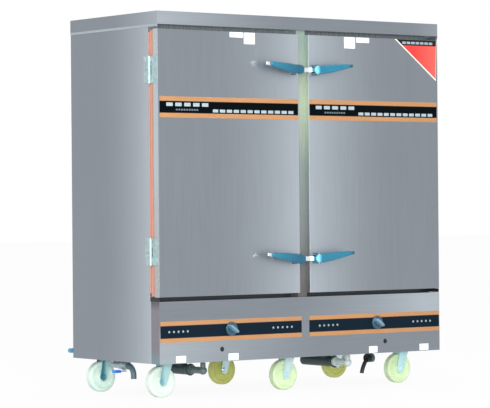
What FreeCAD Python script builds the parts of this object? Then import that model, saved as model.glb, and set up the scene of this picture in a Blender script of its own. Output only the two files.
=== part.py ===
import FreeCAD, Part
import math
import os

# Gas rice steamer: a double door steaming cabinet on six swivel casters.
# All sizes are in millimetres. X runs to the right as seen from the front,
# Y runs from the doors to the back, Z runs up from the floor. The origin is
# on the floor, under the middle of the whole machine.

V = FreeCAD.Vector
UP = V(0, 0, 1)
ACROSS = V(1, 0, 0)
BACKWARD = V(0, 1, 0)

# Whole cabinet
cabinet_width = 1450.0
cabinet_depth = 629.0
cabinet_height = 1530.0
sheet = 1.2
handle_reach = 56.0
rear_reach = 70.0
fit_gap = 0.3
running_gap = 0.05

# Levels of the front
skirt_bottom = 140.0
panel_height = 246.0
panel_to_door = 17.0
door_to_cap = 18.0
cap_front_drop = 52.0
cap_side_drop = 61.0
cap_lip = 15.0
panel_lip = 28.0
skirt_lip = 12.0

# Depths behind the door front
door_shell_depth = 32.0
gasket_depth = 32.0
panel_return = 59.0
post_recess = 19.0

# Doors
door_spacing = 52.0
gasket_inset = 3.0
gasket_width = 32.0
mouth_margin = 4.0
inner_field_margin = 6.0
inner_field_rise = 14.0
edge_round = 0.9

# Centre post between the doors
post_width = 46.0

# Chambers, insulation and tank
liner_sheet = 1.0
back_insulation = 40.0
tank_bottom = 300.0
tank_clear_of_mouth = 12.0
tank_wall = 1.5

# Trays and their racks
tray_levels = 12
tray_top_room = 29.0
first_tray_rise = 22.0
tray_side_room = 10.5
tray_depth = 400.0
tray_height = 48.0
tray_rim = 4.0
tray_wall = 0.8
tray_rim_sheet = 1.2
tray_setback = 30.0
rack_upright_depth = 8.0
rack_upright_width = 20.0
rack_upright_inset = 40.0
ledge_reach = 32.0
ledge_thick = 3.0

# Base frame and floor pan
caster_height = 155.0
rail_width = 60.0
rail_height = 40.0
rail_wall = 2.0
end_rail_width = 40.0

# Casters
caster_side_inset = 110.0
front_caster_setback = 126.0
caster_wheelbase = 431.0
wheel_diameter = 125.0
wheel_width = 35.0
wheel_hub_width = 38.0
wheel_hub_radius = 19.0
wheel_web_depth = 6.0
wheel_rim_radius = 47.0
wheel_hub_slope = 3.0
wheel_rim_slope = 4.0
wheel_edge = 7.0
axle_radius = 6.0
axle_head_radius = 9.5
axle_head_length = 6.0
caster_trail = 22.0
caster_plate_length = 104.0
caster_plate_width = 76.0
caster_plate_thick = 4.5
caster_bolt_spacing_x = 80.0
caster_bolt_spacing_y = 40.0
caster_bolt_radius = 4.0
caster_bolt_head_radius = 7.0
caster_bolt_head_height = 5.0
swivel_ring_radius = 28.0
swivel_ring_height = 4.5
fork_head_radius = 31.0
fork_head_height = 7.0
fork_leg_thick = 3.0
fork_leg_width = 46.0
fork_leg_end_radius = 17.0
fork_side_gap = 2.0
kingpin_radius = 7.0
kingpin_head_radius = 11.0
kingpin_head_height = 4.0

# Label bands on the doors and the strips on the control panel
band_thick = 0.5
band_drop = 349.0
band_height = 83.5
band_start = 30.0
band_side_inset = 7.0
strip_bottom = 223.5
strip_height = 84.0
strip_start = 20.0
strip_side_inset = 3.0
knob_ring_radius = 36.0
knob_ring_hole = 12.0

# Gas knobs and viewing holes
knob_offset = 2.5
knob_z = 269.0
knob_radius = 28.0
knob_skirt = 8.0
knob_grip_length = 52.0
knob_grip_width = 13.0
knob_grip_height = 24.0
knob_grip_turn = 38.0
knob_shaft_radius = 4.0
knob_shaft_depth = 30.0
view_hole_offset = 47.5
view_hole_z = 189.0
view_hole_radius = 10.0

# Door hinges
hinge_top_drop = 160.0
hinge_bottom_rise = 179.0
hinge_setback = 48.0
hinge_height = 106.0
hinge_offset = 8.0
hinge_knuckle_radius = 7.0
hinge_middle_height = 36.0
hinge_pin_radius = 3.0
hinge_cap_radius = 5.0
hinge_cap_height = 2.0
hinge_leaf_thick = 3.0
hinge_leaf_length = 44.0
hinge_knuckle_gap = 0.5
hinge_screw_setback = 9.0
hinge_screw_pitch = 34.0
hinge_screw_radius = 4.5
hinge_screw_height = 2.0

# Latch levers, their brackets, grips and strikers
latch_top_drop = 145.5
latch_bottom_rise = 140.0
latch_pivot_x = 53.0
latch_pivot_reach = 26.0
latch_pin_radius = 4.0
latch_pin_head_radius = 8.0
latch_pin_head_height = 4.0
latch_hub_radius = 9.0
latch_hub_height = 24.0
latch_nose_length = 35.0
latch_nose_thick = 10.0
latch_nose_height = 16.0
latch_ear_thick = 5.0
latch_ear_radius = 8.0
latch_base_thick = 4.0
latch_base_width = 30.0
latch_base_height = 42.0
arm_thick = 8.0
arm_root_height = 22.0
arm_tip_height = 12.0
arm_tip_x = 222.0
arm_tip_reach = 45.0
arm_tip_rise = 21.0
grip_start_x = 64.0
grip_end_x = 205.0
grip_root_height = 37.0
grip_tip_height = 19.0
grip_root_back = 20.0
grip_root_front = 49.0
grip_tip_back = 38.0
grip_round = 3.5
grip_tongue = 25.0
grip_tongue_thick = 13.0
striker_base_width = 40.0
striker_base_height = 24.0
striker_base_thick = 3.0
striker_head_width = 32.0
striker_head_height = 18.0
striker_head_thick = 12.0
striker_stem_width = 16.0
striker_stem_height = 14.0
striker_reach = 24.0
striker_screw_radius = 3.5
striker_screw_height = 2.0
striker_screw_pitch = 28.0

# Gas burners and pipework
burner_bar_count = 4
burner_bar_pitch = 80.0
burner_bar_width = 24.0
burner_bar_height = 28.0
burner_bar_front = 225.0
burner_bar_back = 480.0
burner_bottom = 225.0
burner_header_width = 30.0
burner_foot = 10.0
mixer_radius = 22.0
mixer_z = 92.0
mixer_front = 284.0
mixer_back = 497.0
mixer_neck_y = 340.0
mixer_neck_radius = 18.0
mixer_mouth_radius = 25.0
mixer_mouth_length = 12.0
gas_pipe_radius = 10.67
gas_thread_radius = 10.5
gas_thread_length = 20.0
gas_inlet_inset = 85.0
gas_inlet_reach = 30.0
manifold_y = 36.0
manifold_drop = 45.0
valve_neck_radius = 10.0
valve_neck_length = 12.8
valve_radius = 15.0
valve_back = 58.0
valve_riser_radius = 8.0
feed_radius = 6.0
feed_drop_y = 196.0
feed_fitting_radius = 14.0
feed_corner_radius = 17.0
feed_nut_radius = 19.0
feed_nut_length = 14.0
feed_top_nut_radius = 11.0
feed_top_nut_rise = 32.0

# Water feed, overflow and drain
water_pipe_radius = 13.35
water_pipe_bore = 10.5
drain_inset = 75.0
drain_y = 448.0
drain_z = 118.0
drain_valve_y = 366.0
drain_valve_length = 60.0
drain_valve_radius = 19.0
drain_elbow_radius = 40.0
drain_hose_radius = 11.5
drain_hose_bore = 8.0
drain_tail = 12.0
overflow_inset = 225.0
overflow_y = 200.0
overflow_top = 124.0
overflow_fitting_length = 36.0
overflow_fitting_radius = 18.0
overflow_hose_radius = 8.5
overflow_end = (42.0, 43.0)
overflow_bend = (33.0, 70.0)
overflow_freeboard = 25.0
balance_z = 325.0
balance_setback = 60.0
balance_radius = 12.0
float_box_inset = 121.0
float_box_width = 136.0
float_box_height = 110.0
float_box_bottom = 300.0
float_box_lid = 6.0
float_pipe_rise = 40.0
water_valve_inset = 65.0
water_valve_reach = 29.0
water_valve_z = 167.0
water_valve_length = 42.0
water_valve_radius = 16.0
water_inlet_radius = 10.5
water_inlet_length = 12.0

# Levers of the two ball valves
ball_lever_length = 56.0
ball_lever_width = 15.0
ball_lever_thick = 4.0
ball_lever_heel = 9.0
ball_sleeve_length = 36.0
ball_sleeve_width = 19.0
ball_sleeve_thick = 11.0
ball_stem_radius = 4.5
ball_boss_rise = 1.0
ball_boss_wall = 3.0
ball_stem_length = 2.0

# Flues and steam vents
flue_width = 140.0
flue_depth = 30.0
flue_sheet = 1.0
flue_bottom_drop = 20.0
flue_top_drop = 21.0
flue_collar_radius = 38.0
flue_neck_radius = 36.0
outlet_neck = 3.0
flue_collar_drop = 76.0
flue_collar_reach = 35.0
vent_radius = 11.0
vent_neck_radius = 10.0
vent_bore = 8.8
vent_offset = 150.0
vent_drop = 60.0
vent_reach = 25.0

# Planes and levels that follow from the sizes above
half_width = cabinet_width / 2
side_inner = half_width - sheet
door_front = handle_reach - (handle_reach + cabinet_depth + rear_reach) / 2
door_back = door_front + door_shell_depth
jamb_face = door_back + gasket_depth
jamb_back = jamb_face + sheet
return_back = door_front + panel_return
post_front = door_front + post_recess
cabinet_back = door_front + cabinet_depth
back_inner = cabinet_back - sheet
liner_back = back_inner - back_insulation
liner_front = jamb_back
chamber_back = liner_back - liner_sheet
cap_underside = cabinet_height - sheet
cap_front_bottom = cabinet_height - cap_front_drop
cap_side_bottom = cabinet_height - cap_side_drop
cap_half = half_width + sheet
panel_top = skirt_bottom + panel_height
door_bottom = panel_top + panel_to_door
door_top = cap_front_bottom - door_to_cap
hinge_levels = (door_top - hinge_top_drop, door_bottom + hinge_bottom_rise)
latch_levels = (door_top - latch_top_drop, door_bottom + latch_bottom_rise)
band_bottom = door_top - band_drop
door_inner_x = door_spacing / 2
gasket_border = gasket_inset + gasket_width
mouth_inner = door_inner_x + gasket_border + mouth_margin
mouth_outer = half_width - gasket_border - mouth_margin
mouth_bottom = door_bottom + gasket_border + mouth_margin
mouth_top = door_top - gasket_border - mouth_margin
chamber_x = (mouth_inner + mouth_outer) / 2
knob_x = chamber_x + knob_offset
view_hole_x = chamber_x + view_hole_offset
caster_spread = half_width - caster_side_inset
band_end = half_width - band_side_inset
strip_end = half_width - strip_side_inset
gas_inlet_x = half_width - gas_inlet_inset
drain_x = half_width - drain_inset
float_box_x = half_width - float_box_inset
water_valve_x = half_width - water_valve_inset
overflow_x = half_width - overflow_inset
tray_width = mouth_outer - mouth_inner - 2 * tray_side_room
liner_top = mouth_top + liner_sheet
flue_top = mouth_top - flue_top_drop
flue_collar_z = mouth_top - flue_collar_drop
tank_top = mouth_bottom - tank_clear_of_mouth
first_tray_z = mouth_bottom + first_tray_rise
tray_pitch = (mouth_top - first_tray_z - tray_height - tray_top_room) / (tray_levels - 1)
tray_front = jamb_back + tray_setback
post_half = post_width / 2
frame_top = caster_height + rail_height
pan_top = frame_top + sheet
front_caster_y = door_front + front_caster_setback
rear_caster_y = front_caster_y + caster_wheelbase
wheel_radius = wheel_diameter / 2
plate_bottom = caster_height - caster_plate_thick
ring_bottom = plate_bottom - swivel_ring_height
fork_top = ring_bottom - fit_gap
fork_head_bottom = fork_top - fork_head_height
hinge_x = half_width + hinge_offset
hinge_y = door_front + hinge_setback
latch_pivot_y = door_front - latch_pivot_reach
water_boss_reach = water_valve_radius + ball_boss_rise
drain_boss_reach = drain_valve_radius + ball_boss_rise
valve_lever_y = cabinet_back + water_valve_reach + water_boss_reach + ball_stem_length
drain_lever_z = drain_z - drain_boss_reach - ball_stem_length

nodes = {}


def block(x, y, z):
    """A box between two limits on each axis."""
    return Part.makeBox(x[1] - x[0], y[1] - y[0], z[1] - z[0], V(x[0], y[0], z[0]))


def rod(radius, start, end):
    """A round bar from one point to another."""
    return Part.makeCylinder(radius, (end - start).Length, start, end - start)


def pipe(radius, bore, start, end):
    """A round tube from one point to another."""
    return rod(radius, start, end).cut(rod(bore, start, end))


def join(*pieces):
    """Several touching pieces as one solid."""
    return pieces[0].multiFuse(list(pieces[1:])).removeSplitter()


def mirrored(shape):
    """The same piece on the other side of the machine."""
    return shape.mirror(V(0, 0, 0), ACROSS)


def both_sides(shape):
    """A piece of the right half and its twin on the left."""
    return [mirrored(shape), shape]


def on_side(shape, side):
    """A piece drawn on the right, put on the named side."""
    return mirrored(shape) if side == "left" else shape


def bend_pipe(radius, bore, edges):
    """A tube carried along straight and curved edges laid end to end."""
    path = Part.Wire(edges)
    start = path.Edges[0].firstVertex().Point
    along = path.Edges[0].tangentAt(path.Edges[0].FirstParameter)
    outer = Part.Wire(Part.makeCircle(radius, start, along))
    inner = Part.Wire(Part.makeCircle(bore, start, along))
    return path.makePipeShell([outer], True, False).cut(path.makePipeShell([inner], True, False))


def loft_box(first, second):
    """A tapered bar between two upright rectangles, each as x, y limits and z limits."""
    wires = []
    for x, y, z in (first, second):
        corners = [V(x, y[0], z[0]), V(x, y[1], z[0]), V(x, y[1], z[1]), V(x, y[0], z[1])]
        wires.append(Part.makePolygon(corners + corners[:1]))
    return Part.makeLoft(wires, True, True)


def add(name, solids):
    """Keep a sub-part under its name."""
    nodes[name] = Part.makeCompound(solids) if len(solids) > 1 else solids[0]


# Outer casing

def top_cap():
    """The folded lid, with a deep skirt that hangs over the doors."""
    body = block((-cap_half, cap_half), (door_front, cabinet_back + sheet), (cap_side_bottom, cabinet_height))
    inside = block((-half_width, half_width), (door_front, cabinet_back), (cap_side_bottom, cap_underside))
    front = block((-half_width, half_width), (door_front, door_front + sheet), (cap_front_bottom, cap_underside))
    lip = block((-half_width, half_width), (door_front + sheet, door_front + cap_lip),
                (cap_front_bottom, cap_front_bottom + sheet))
    return join(body.cut(inside), front, lip)


def side_panel():
    """The right side sheet, stepped forward below the door."""
    upper = block((side_inner, half_width), (jamb_face, cabinet_back), (skirt_bottom, cap_underside))
    lower = block((side_inner, half_width), (return_back, jamb_face), (skirt_bottom, panel_top))
    lip = block((side_inner - skirt_lip, side_inner), (return_back, back_inner),
                (skirt_bottom, skirt_bottom + sheet))
    return join(upper, lower, lip)


def back_panel():
    """The back sheet with its pipe, flue and vent holes."""
    body = block((-side_inner, side_inner), (back_inner, cabinet_back), (skirt_bottom, cap_underside))
    for hole in back_holes(back_inner, cabinet_back):
        body = body.cut(hole)
    gas = rod(gas_pipe_radius + fit_gap, V(gas_inlet_x, back_inner, knob_z - manifold_drop),
              V(gas_inlet_x, cabinet_back, knob_z - manifold_drop))
    return body.cut(gas)


def back_holes(near, far):
    """Cutters for the flue collars, steam vents and float pipe between two depths."""
    cutters = []
    for sign in (-1, 1):
        flue_x = sign * chamber_x
        vent_x = sign * (chamber_x + vent_offset)
        cutters.append(rod(flue_neck_radius + fit_gap, V(flue_x, near, flue_collar_z), V(flue_x, far, flue_collar_z)))
        cutters.append(rod(vent_neck_radius + fit_gap, V(vent_x, near, vent_z()), V(vent_x, far, vent_z())))
    cutters.append(rod(balance_radius + fit_gap, V(-float_box_x, near, float_pipe_z()),
                       V(-float_box_x, far, float_pipe_z())))
    return cutters


def vent_z():
    """Level of the steam vents, below the chamber's ceiling."""
    return mouth_top - vent_drop


def float_pipe_z():
    """Level of the pipe between the float box and the left tank."""
    return float_box_bottom + float_pipe_rise


def front_frame():
    """Flat jambs, headers, sills and the mullion that the door seals press on."""
    depth = (jamb_face, jamb_back)
    full = (panel_top, cap_underside)
    members = [block((-mouth_inner, mouth_inner), depth, full)]
    members += both_sides(block((mouth_outer, side_inner), depth, full))
    members += both_sides(block((mouth_inner, mouth_outer), depth, (mouth_top, cap_underside)))
    members += both_sides(block((mouth_inner, mouth_outer), depth, (panel_top, mouth_bottom)))
    return members


def centre_post():
    """The channel between the doors, which carries the strikers."""
    body = block((-post_half, post_half), (post_front, jamb_face), (panel_top, cap_underside))
    inner = post_half - sheet
    return body.cut(block((-inner, inner), (post_front + sheet, jamb_face), (panel_top, cap_underside)))


def control_panel():
    """The lower front, with folded sides, a shelf on top and a lip below."""
    height = (skirt_bottom, panel_top)
    front = block((-half_width, half_width), (door_front, door_front + sheet), height)
    left, right = both_sides(block((side_inner, half_width), (door_front, return_back), height))
    shelf = block((-side_inner, side_inner), (door_front, jamb_back), (panel_top - sheet, panel_top))
    lip = block((-side_inner, side_inner), (door_front, door_front + panel_lip), (skirt_bottom, skirt_bottom + sheet))
    body = join(front, left, right, shelf, lip)
    for sign in (-1, 1):
        for x, z, radius in ((knob_x, knob_z, knob_shaft_radius + 1), (view_hole_x, view_hole_z, view_hole_radius)):
            body = body.cut(rod(radius, V(sign * x, door_front, z), V(sign * x, door_front + sheet, z)))
    return body


def control_label_strips():
    """Printed strips on the control panel and the ring behind each knob."""
    strip = block((strip_start, strip_end), (door_front - band_thick, door_front),
                  (strip_bottom, strip_bottom + strip_height))
    ring = rod(knob_ring_radius, V(knob_x, door_front - band_thick, knob_z),
               V(knob_x, door_front - 2 * band_thick, knob_z))
    hole = rod(knob_ring_hole, V(knob_x, door_front - 2 * band_thick, knob_z), V(knob_x, door_front, knob_z))
    return both_sides(strip.cut(hole)) + both_sides(ring.cut(hole))


# Chambers, tanks and trays

def chamber_liners():
    """Both chambers: outer wall, inner wall, ceiling and back of each, in thin sheet."""
    depth = (liner_front, liner_back)
    walls = (tank_bottom, mouth_top)
    outer = block((mouth_outer, mouth_outer + liner_sheet), depth, walls)
    inner = block((mouth_inner - liner_sheet, mouth_inner), depth, walls).cut(balance_cutter())
    ceiling = block((mouth_inner - liner_sheet, mouth_outer + liner_sheet), depth, (mouth_top, liner_top))
    back = block((mouth_inner, mouth_outer), (chamber_back, liner_back), walls)
    sheets = both_sides(outer) + both_sides(inner) + both_sides(ceiling)
    for side in ("left", "right"):
        wall = on_side(back, side)
        for hole in back_holes(chamber_back, liner_back)[1::2] + back_holes(chamber_back, liner_back)[-1:]:
            wall = wall.cut(hole)
        sheets.append(wall)
    return sheets


def balance_cutter():
    """The way for the balance pipe through everything between the tanks."""
    reach = mouth_inner + tank_wall
    y = chamber_back - balance_setback
    return rod(balance_radius + fit_gap, V(-reach, y, balance_z), V(reach, y, balance_z))


def cabinet_insulation():
    """Foam slabs at the sides, centre, back and top of the chambers."""
    depth = (jamb_back, back_inner)
    walls = (tank_bottom, liner_top)
    slabs = both_sides(block((mouth_outer + liner_sheet, side_inner), depth, walls))
    core = mouth_inner - liner_sheet
    slabs.append(block((-core, core), depth, walls).cut(balance_cutter()))
    slabs.append(block((-side_inner, side_inner), depth, (liner_top, cap_underside)))
    channel = block((chamber_x - flue_width / 2, chamber_x + flue_width / 2),
                    (liner_back, liner_back + flue_depth), (tank_bottom, flue_top))
    rear = block((core, mouth_outer + liner_sheet), (liner_back, back_inner), walls).cut(channel)
    for side in ("left", "right"):
        slab = on_side(rear, side)
        for hole in back_holes(liner_back, back_inner):
            slab = slab.cut(hole)
        slabs.append(slab)
    return slabs


def water_tank(outlet_x, outlet_y, outlet_radius, side):
    """An open water pan under one chamber, welded from five plates, with its outlet and side ports."""
    x = (mouth_inner, mouth_outer)
    y = (liner_front, chamber_back)
    z = (tank_bottom + tank_wall, tank_top)
    inner_y = (y[0] + tank_wall, y[1] - tank_wall)
    outlet = rod(outlet_radius, V(outlet_x, outlet_y, tank_bottom), V(outlet_x, outlet_y, tank_bottom + tank_wall))
    floor = block(x, y, (tank_bottom, tank_bottom + tank_wall)).cut(outlet)
    front = block(x, (y[0], inner_y[0]), z)
    back = block(x, (inner_y[1], y[1]), z)
    inner = block((x[0], x[0] + tank_wall), inner_y, z).cut(balance_cutter())
    outer = block((x[1] - tank_wall, x[1]), inner_y, z)
    plates = [on_side(plate, side) for plate in (floor, front, inner, outer, back)]
    if side == "left":
        plates[-1] = plates[-1].cut(rod(balance_radius + fit_gap, V(-float_box_x, inner_y[1], float_pipe_z()),
                                        V(-float_box_x, y[1], float_pipe_z())))
    return plates


def rack_side():
    """One side rack of the right chamber: two uprights and a flat bar ledge for each tray."""
    wall = mouth_outer
    face = wall - rack_upright_depth
    height = (tank_top, mouth_top - mouth_margin)
    front = tray_front + rack_upright_inset
    back = tray_front + tray_depth - rack_upright_inset - rack_upright_width
    pieces = []
    for start in (front, back):
        pieces.append(block((face, wall), (start, start + rack_upright_width), height))
    for level in range(tray_levels):
        z = first_tray_z + level * tray_pitch
        depth = (tray_front, tray_front + tray_depth)
        pieces.append(block((face - ledge_reach, face), depth, (z - ledge_thick, z)))
    return pieces


def tray_racks():
    """Side racks of both chambers."""
    pieces = []
    for outer in rack_side():
        pieces += both_sides(outer) + both_sides(outer.mirror(V(chamber_x, 0, 0), ACROSS))
    return pieces


def rice_tray():
    """One rice tray on the lowest ledge of the right chamber: a floor and four walls with a flat rim."""
    half = tray_width / 2 - tray_rim
    bottom = first_tray_z
    top = bottom + tray_height
    x = (chamber_x - half, chamber_x + half)
    y = (tray_front + tray_rim, tray_front + tray_depth - tray_rim)
    inner_x = (x[0] + tray_wall, x[1] - tray_wall)
    inner_y = (y[0] + tray_wall, y[1] - tray_wall)
    wall = (bottom + tray_wall, top)
    rim = (top - tray_rim_sheet, top)
    rim_x = (x[0] - tray_rim, x[1] + tray_rim)
    floor = block(x, y, (bottom, bottom + tray_wall))
    front = join(block(x, (y[0], inner_y[0]), wall), block(rim_x, (y[0] - tray_rim, inner_y[0]), rim))
    back = join(block(x, (inner_y[1], y[1]), wall), block(rim_x, (inner_y[1], y[1] + tray_rim), rim))
    inner = join(block((x[0], inner_x[0]), inner_y, wall), block((rim_x[0], inner_x[0]), inner_y, rim))
    outer = join(block((inner_x[1], x[1]), inner_y, wall), block((inner_x[1], rim_x[1]), inner_y, rim))
    return [floor, front, inner, outer, back]


def rice_trays():
    """All the trays, one on each ledge of both chambers."""
    trays = []
    for level in range(tray_levels):
        for plate in rice_tray():
            plate.translate(V(0, 0, level * tray_pitch))
            trays += both_sides(plate)
    return trays


# Base and casters

def hollow_rail(x, y, z, along):
    """A rectangular steel tube that runs along x or y."""
    inner_x = x if along == "x" else (x[0] + rail_wall, x[1] - rail_wall)
    inner_y = y if along == "y" else (y[0] + rail_wall, y[1] - rail_wall)
    return block(x, y, z).cut(block(inner_x, inner_y, (z[0] + rail_wall, z[1] - rail_wall)))


def base_frame():
    """Long front and rear rails with three short rails between them."""
    height = (caster_height, frame_top)
    half = rail_width / 2
    rails = []
    for y in (front_caster_y, rear_caster_y):
        rail = hollow_rail((-side_inner, side_inner), (y - half, y + half), height, "x")
        for x in (-caster_spread, 0, caster_spread):
            for hole in caster_bolt_rods(x, y, caster_height, caster_height + rail_wall, caster_bolt_radius + fit_gap):
                rail = rail.cut(hole)
        rails.append(rail)
    between = (front_caster_y + half, rear_caster_y - half)
    rails.append(hollow_rail((-end_rail_width / 2, end_rail_width / 2), between, height, "y"))
    rails += both_sides(hollow_rail((side_inner - end_rail_width, side_inner), between, height, "y"))
    return rails


def floor_pan():
    """The sheet under the burners, with a hole for each pipe that passes down."""
    pan = block((-side_inner, side_inner), (jamb_face, back_inner), (frame_top, pan_top))
    passes = [(-drain_x, drain_y, water_pipe_radius), (overflow_x, overflow_y, water_pipe_radius)]
    for sign in (-1, 1):
        passes.append((sign * knob_x, mixer_neck_y, mixer_neck_radius))
        passes.append((sign * knob_x, feed_drop_y, feed_radius))
    for x, setback, radius in passes:
        y = door_front + setback
        pan = pan.cut(rod(radius + fit_gap, V(x, y, frame_top), V(x, y, pan_top)))
    return pan


def caster_bolt_rods(x, y, bottom, top, radius):
    """Four upright rods on the bolt pattern of a caster plate."""
    rods = []
    for dx in (-caster_bolt_spacing_x / 2, caster_bolt_spacing_x / 2):
        for dy in (-caster_bolt_spacing_y / 2, caster_bolt_spacing_y / 2):
            rods.append(rod(radius, V(x + dx, y + dy, bottom), V(x + dx, y + dy, top)))
    return rods


def caster_mount(x, y):
    """A caster's top plate with its raceway ring and kingpin, and its four bolts."""
    plate = block((x - caster_plate_length / 2, x + caster_plate_length / 2),
                  (y - caster_plate_width / 2, y + caster_plate_width / 2), (plate_bottom, caster_height))
    for hole in caster_bolt_rods(x, y, plate_bottom, caster_height, caster_bolt_radius + fit_gap):
        plate = plate.cut(hole)
    ring = rod(swivel_ring_radius, V(x, y, plate_bottom), V(x, y, ring_bottom))
    head_top = fork_head_bottom - fit_gap
    kingpin = rod(kingpin_radius, V(x, y, ring_bottom), V(x, y, head_top))
    head = rod(kingpin_head_radius, V(x, y, head_top), V(x, y, head_top - kingpin_head_height))
    pieces = [join(plate, ring, kingpin, head)]
    shanks = caster_bolt_rods(x, y, plate_bottom, caster_height + rail_wall, caster_bolt_radius)
    heads = caster_bolt_rods(x, y, plate_bottom - caster_bolt_head_height, plate_bottom, caster_bolt_head_radius)
    pieces += [join(shank, head) for shank, head in zip(shanks, heads)]
    return pieces


def caster_fork(x, y):
    """The swivelling fork with its axle bolt."""
    inner = wheel_hub_width / 2 + fork_side_gap
    outer = inner + fork_leg_thick
    axle_x = x - caster_trail
    head = rod(fork_head_radius, V(x, y, fork_top), V(x, y, fork_head_bottom))
    bridge = block((x - fork_leg_width / 2, x + fork_leg_width / 2), (y - outer, y + outer),
                   (fork_head_bottom, fork_head_bottom + fork_leg_thick))
    pieces = [head, bridge]
    for start, end in ((y - outer, y - inner), (y + inner, y + outer)):
        pieces.append(fork_leg(x, axle_x, start, end))
    fork = join(*pieces)
    bore = rod(kingpin_radius + running_gap, V(x, y, fork_top), V(x, y, fork_head_bottom))
    hole = rod(axle_radius + fit_gap, V(axle_x, y - outer, wheel_radius), V(axle_x, y + outer, wheel_radius))
    shank = rod(axle_radius, V(axle_x, y - outer, wheel_radius), V(axle_x, y + outer, wheel_radius))
    front_head = rod(axle_head_radius, V(axle_x, y - outer - axle_head_length, wheel_radius),
                     V(axle_x, y - outer, wheel_radius))
    nut = rod(axle_head_radius, V(axle_x, y + outer, wheel_radius), V(axle_x, y + outer + axle_head_length, wheel_radius))
    return [fork.cut(bore).cut(hole), join(shank, front_head, nut)]


def fork_leg(x, axle_x, start, end):
    """One leg: wide at the head, tapering to a round end at the axle."""
    radius = fork_leg_end_radius
    top = fork_head_bottom + fork_leg_thick
    half = fork_leg_width / 2
    corners = [V(x - half, start, top), V(axle_x - radius, start, wheel_radius),
               V(axle_x + radius, start, wheel_radius), V(x + half, start, top)]
    web = Part.Face(Part.makePolygon(corners + corners[:1])).extrude(V(0, end - start, 0))
    return join(web, rod(radius, V(axle_x, start, wheel_radius), V(axle_x, end, wheel_radius)))


def caster_wheel(x, y):
    """A nylon wheel: crowned tread, dished sides and a wider hub."""
    half = wheel_width / 2
    hub_half = wheel_hub_width / 2
    web = half - wheel_web_depth
    edge = wheel_edge
    bore = axle_radius + running_gap
    quarter = edge * (1 - math.sqrt(0.5))
    profile = [
        Part.LineSegment(V(bore, -hub_half, 0), V(wheel_hub_radius, -hub_half, 0)),
        Part.LineSegment(V(wheel_hub_radius, -hub_half, 0), V(wheel_hub_radius + wheel_hub_slope, -web, 0)),
        Part.LineSegment(V(wheel_hub_radius + wheel_hub_slope, -web, 0), V(wheel_rim_radius - wheel_rim_slope, -web, 0)),
        Part.LineSegment(V(wheel_rim_radius - wheel_rim_slope, -web, 0), V(wheel_rim_radius, -half, 0)),
        Part.LineSegment(V(wheel_rim_radius, -half, 0), V(wheel_radius - edge, -half, 0)),
        Part.Arc(V(wheel_radius - edge, -half, 0), V(wheel_radius - quarter, -half + quarter, 0),
                 V(wheel_radius, -half + edge, 0)),
        Part.LineSegment(V(wheel_radius, -half + edge, 0), V(wheel_radius, 0, 0)),
    ]
    lower = [piece.toShape() for piece in profile]
    upper = [edge_.mirror(V(0, 0, 0), BACKWARD) for edge_ in lower]
    inner = Part.makeLine(V(bore, -hub_half, 0), V(bore, hub_half, 0))
    face = Part.Face(Part.Wire(Part.__sortEdges__(lower + upper + [inner])))
    wheel = face.revolve(V(0, 0, 0), BACKWARD, 360)
    wheel.translate(V(x - caster_trail, y, wheel_radius))
    return wheel


# Doors

def door_shell():
    """The right door's outer pan, with softened front edges."""
    x = (door_inner_x, half_width)
    z = (door_bottom, door_top)
    body = block(x, (door_front, door_back), z)
    front = [e for e in body.Edges if e.BoundBox.YMax < door_front + edge_round]
    body = body.makeFillet(edge_round, front)
    hollow = block((x[0] + sheet, x[1] - sheet), (door_front + sheet, door_back), (z[0] + sheet, z[1] - sheet))
    return body.cut(hollow)


def door_inner_panel():
    """The sheet that closes the door's back, with a raised field inside the seal."""
    x = (door_inner_x + sheet, half_width - sheet)
    z = (door_bottom + sheet, door_top - sheet)
    plate = block(x, (door_back - sheet, door_back), z)
    field = field_block(0, door_back, door_back + inner_field_rise)
    hollow = field_block(sheet, door_back - sheet, door_back + inner_field_rise - sheet)
    return plate.fuse(field).cut(hollow).removeSplitter()


def field_block(inset, near, far):
    """The raised field's outline inside the seal, drawn in by an inset."""
    border = gasket_border + inner_field_margin + inset
    return block((door_inner_x + border, half_width - border), (near, far), (door_bottom + border, door_top - border))


def door_insulation():
    """Foam that fills the door and its raised field."""
    x = (door_inner_x + sheet, half_width - sheet)
    z = (door_bottom + sheet, door_top - sheet)
    slab = block(x, (door_front + sheet, door_back - sheet), z)
    return slab.fuse(field_block(sheet, door_back - sheet, door_back + inner_field_rise - sheet)).removeSplitter()


def door_gasket():
    """The wide silicone seal round the back of the door."""
    depth = (door_back, jamb_face - fit_gap)
    x = (door_inner_x + gasket_inset, half_width - gasket_inset)
    z = (door_bottom + gasket_inset, door_top - gasket_inset)
    ring = block(x, depth, z)
    opening = block((x[0] + gasket_width, x[1] - gasket_width), depth, (z[0] + gasket_width, z[1] - gasket_width))
    return ring.cut(opening)


def door_label_band():
    """The printed band across the door."""
    return block((band_start, band_end), (door_front - band_thick, door_front), (band_bottom, band_bottom + band_height))


def hinge_zones(level):
    """Heights of the lower, middle and upper knuckles of a hinge."""
    bottom = level - hinge_height / 2
    top = level + hinge_height / 2
    low = level - hinge_middle_height / 2
    high = level + hinge_middle_height / 2
    return (bottom, low - fit_gap), (low, high), (high + fit_gap, top)


def hinge_leaf_piece(y, z):
    """A flat piece of a hinge leaf on the machine's right side."""
    return block((half_width, half_width + hinge_leaf_thick), y, z)


def hinge_screws(level, y):
    """Three round screw heads on a leaf."""
    face = half_width + hinge_leaf_thick
    heads = []
    for step in (-1, 0, 1):
        z = level + step * hinge_screw_pitch
        heads.append(rod(hinge_screw_radius, V(face, y, z), V(face + hinge_screw_height, y, z)))
    return heads


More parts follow.
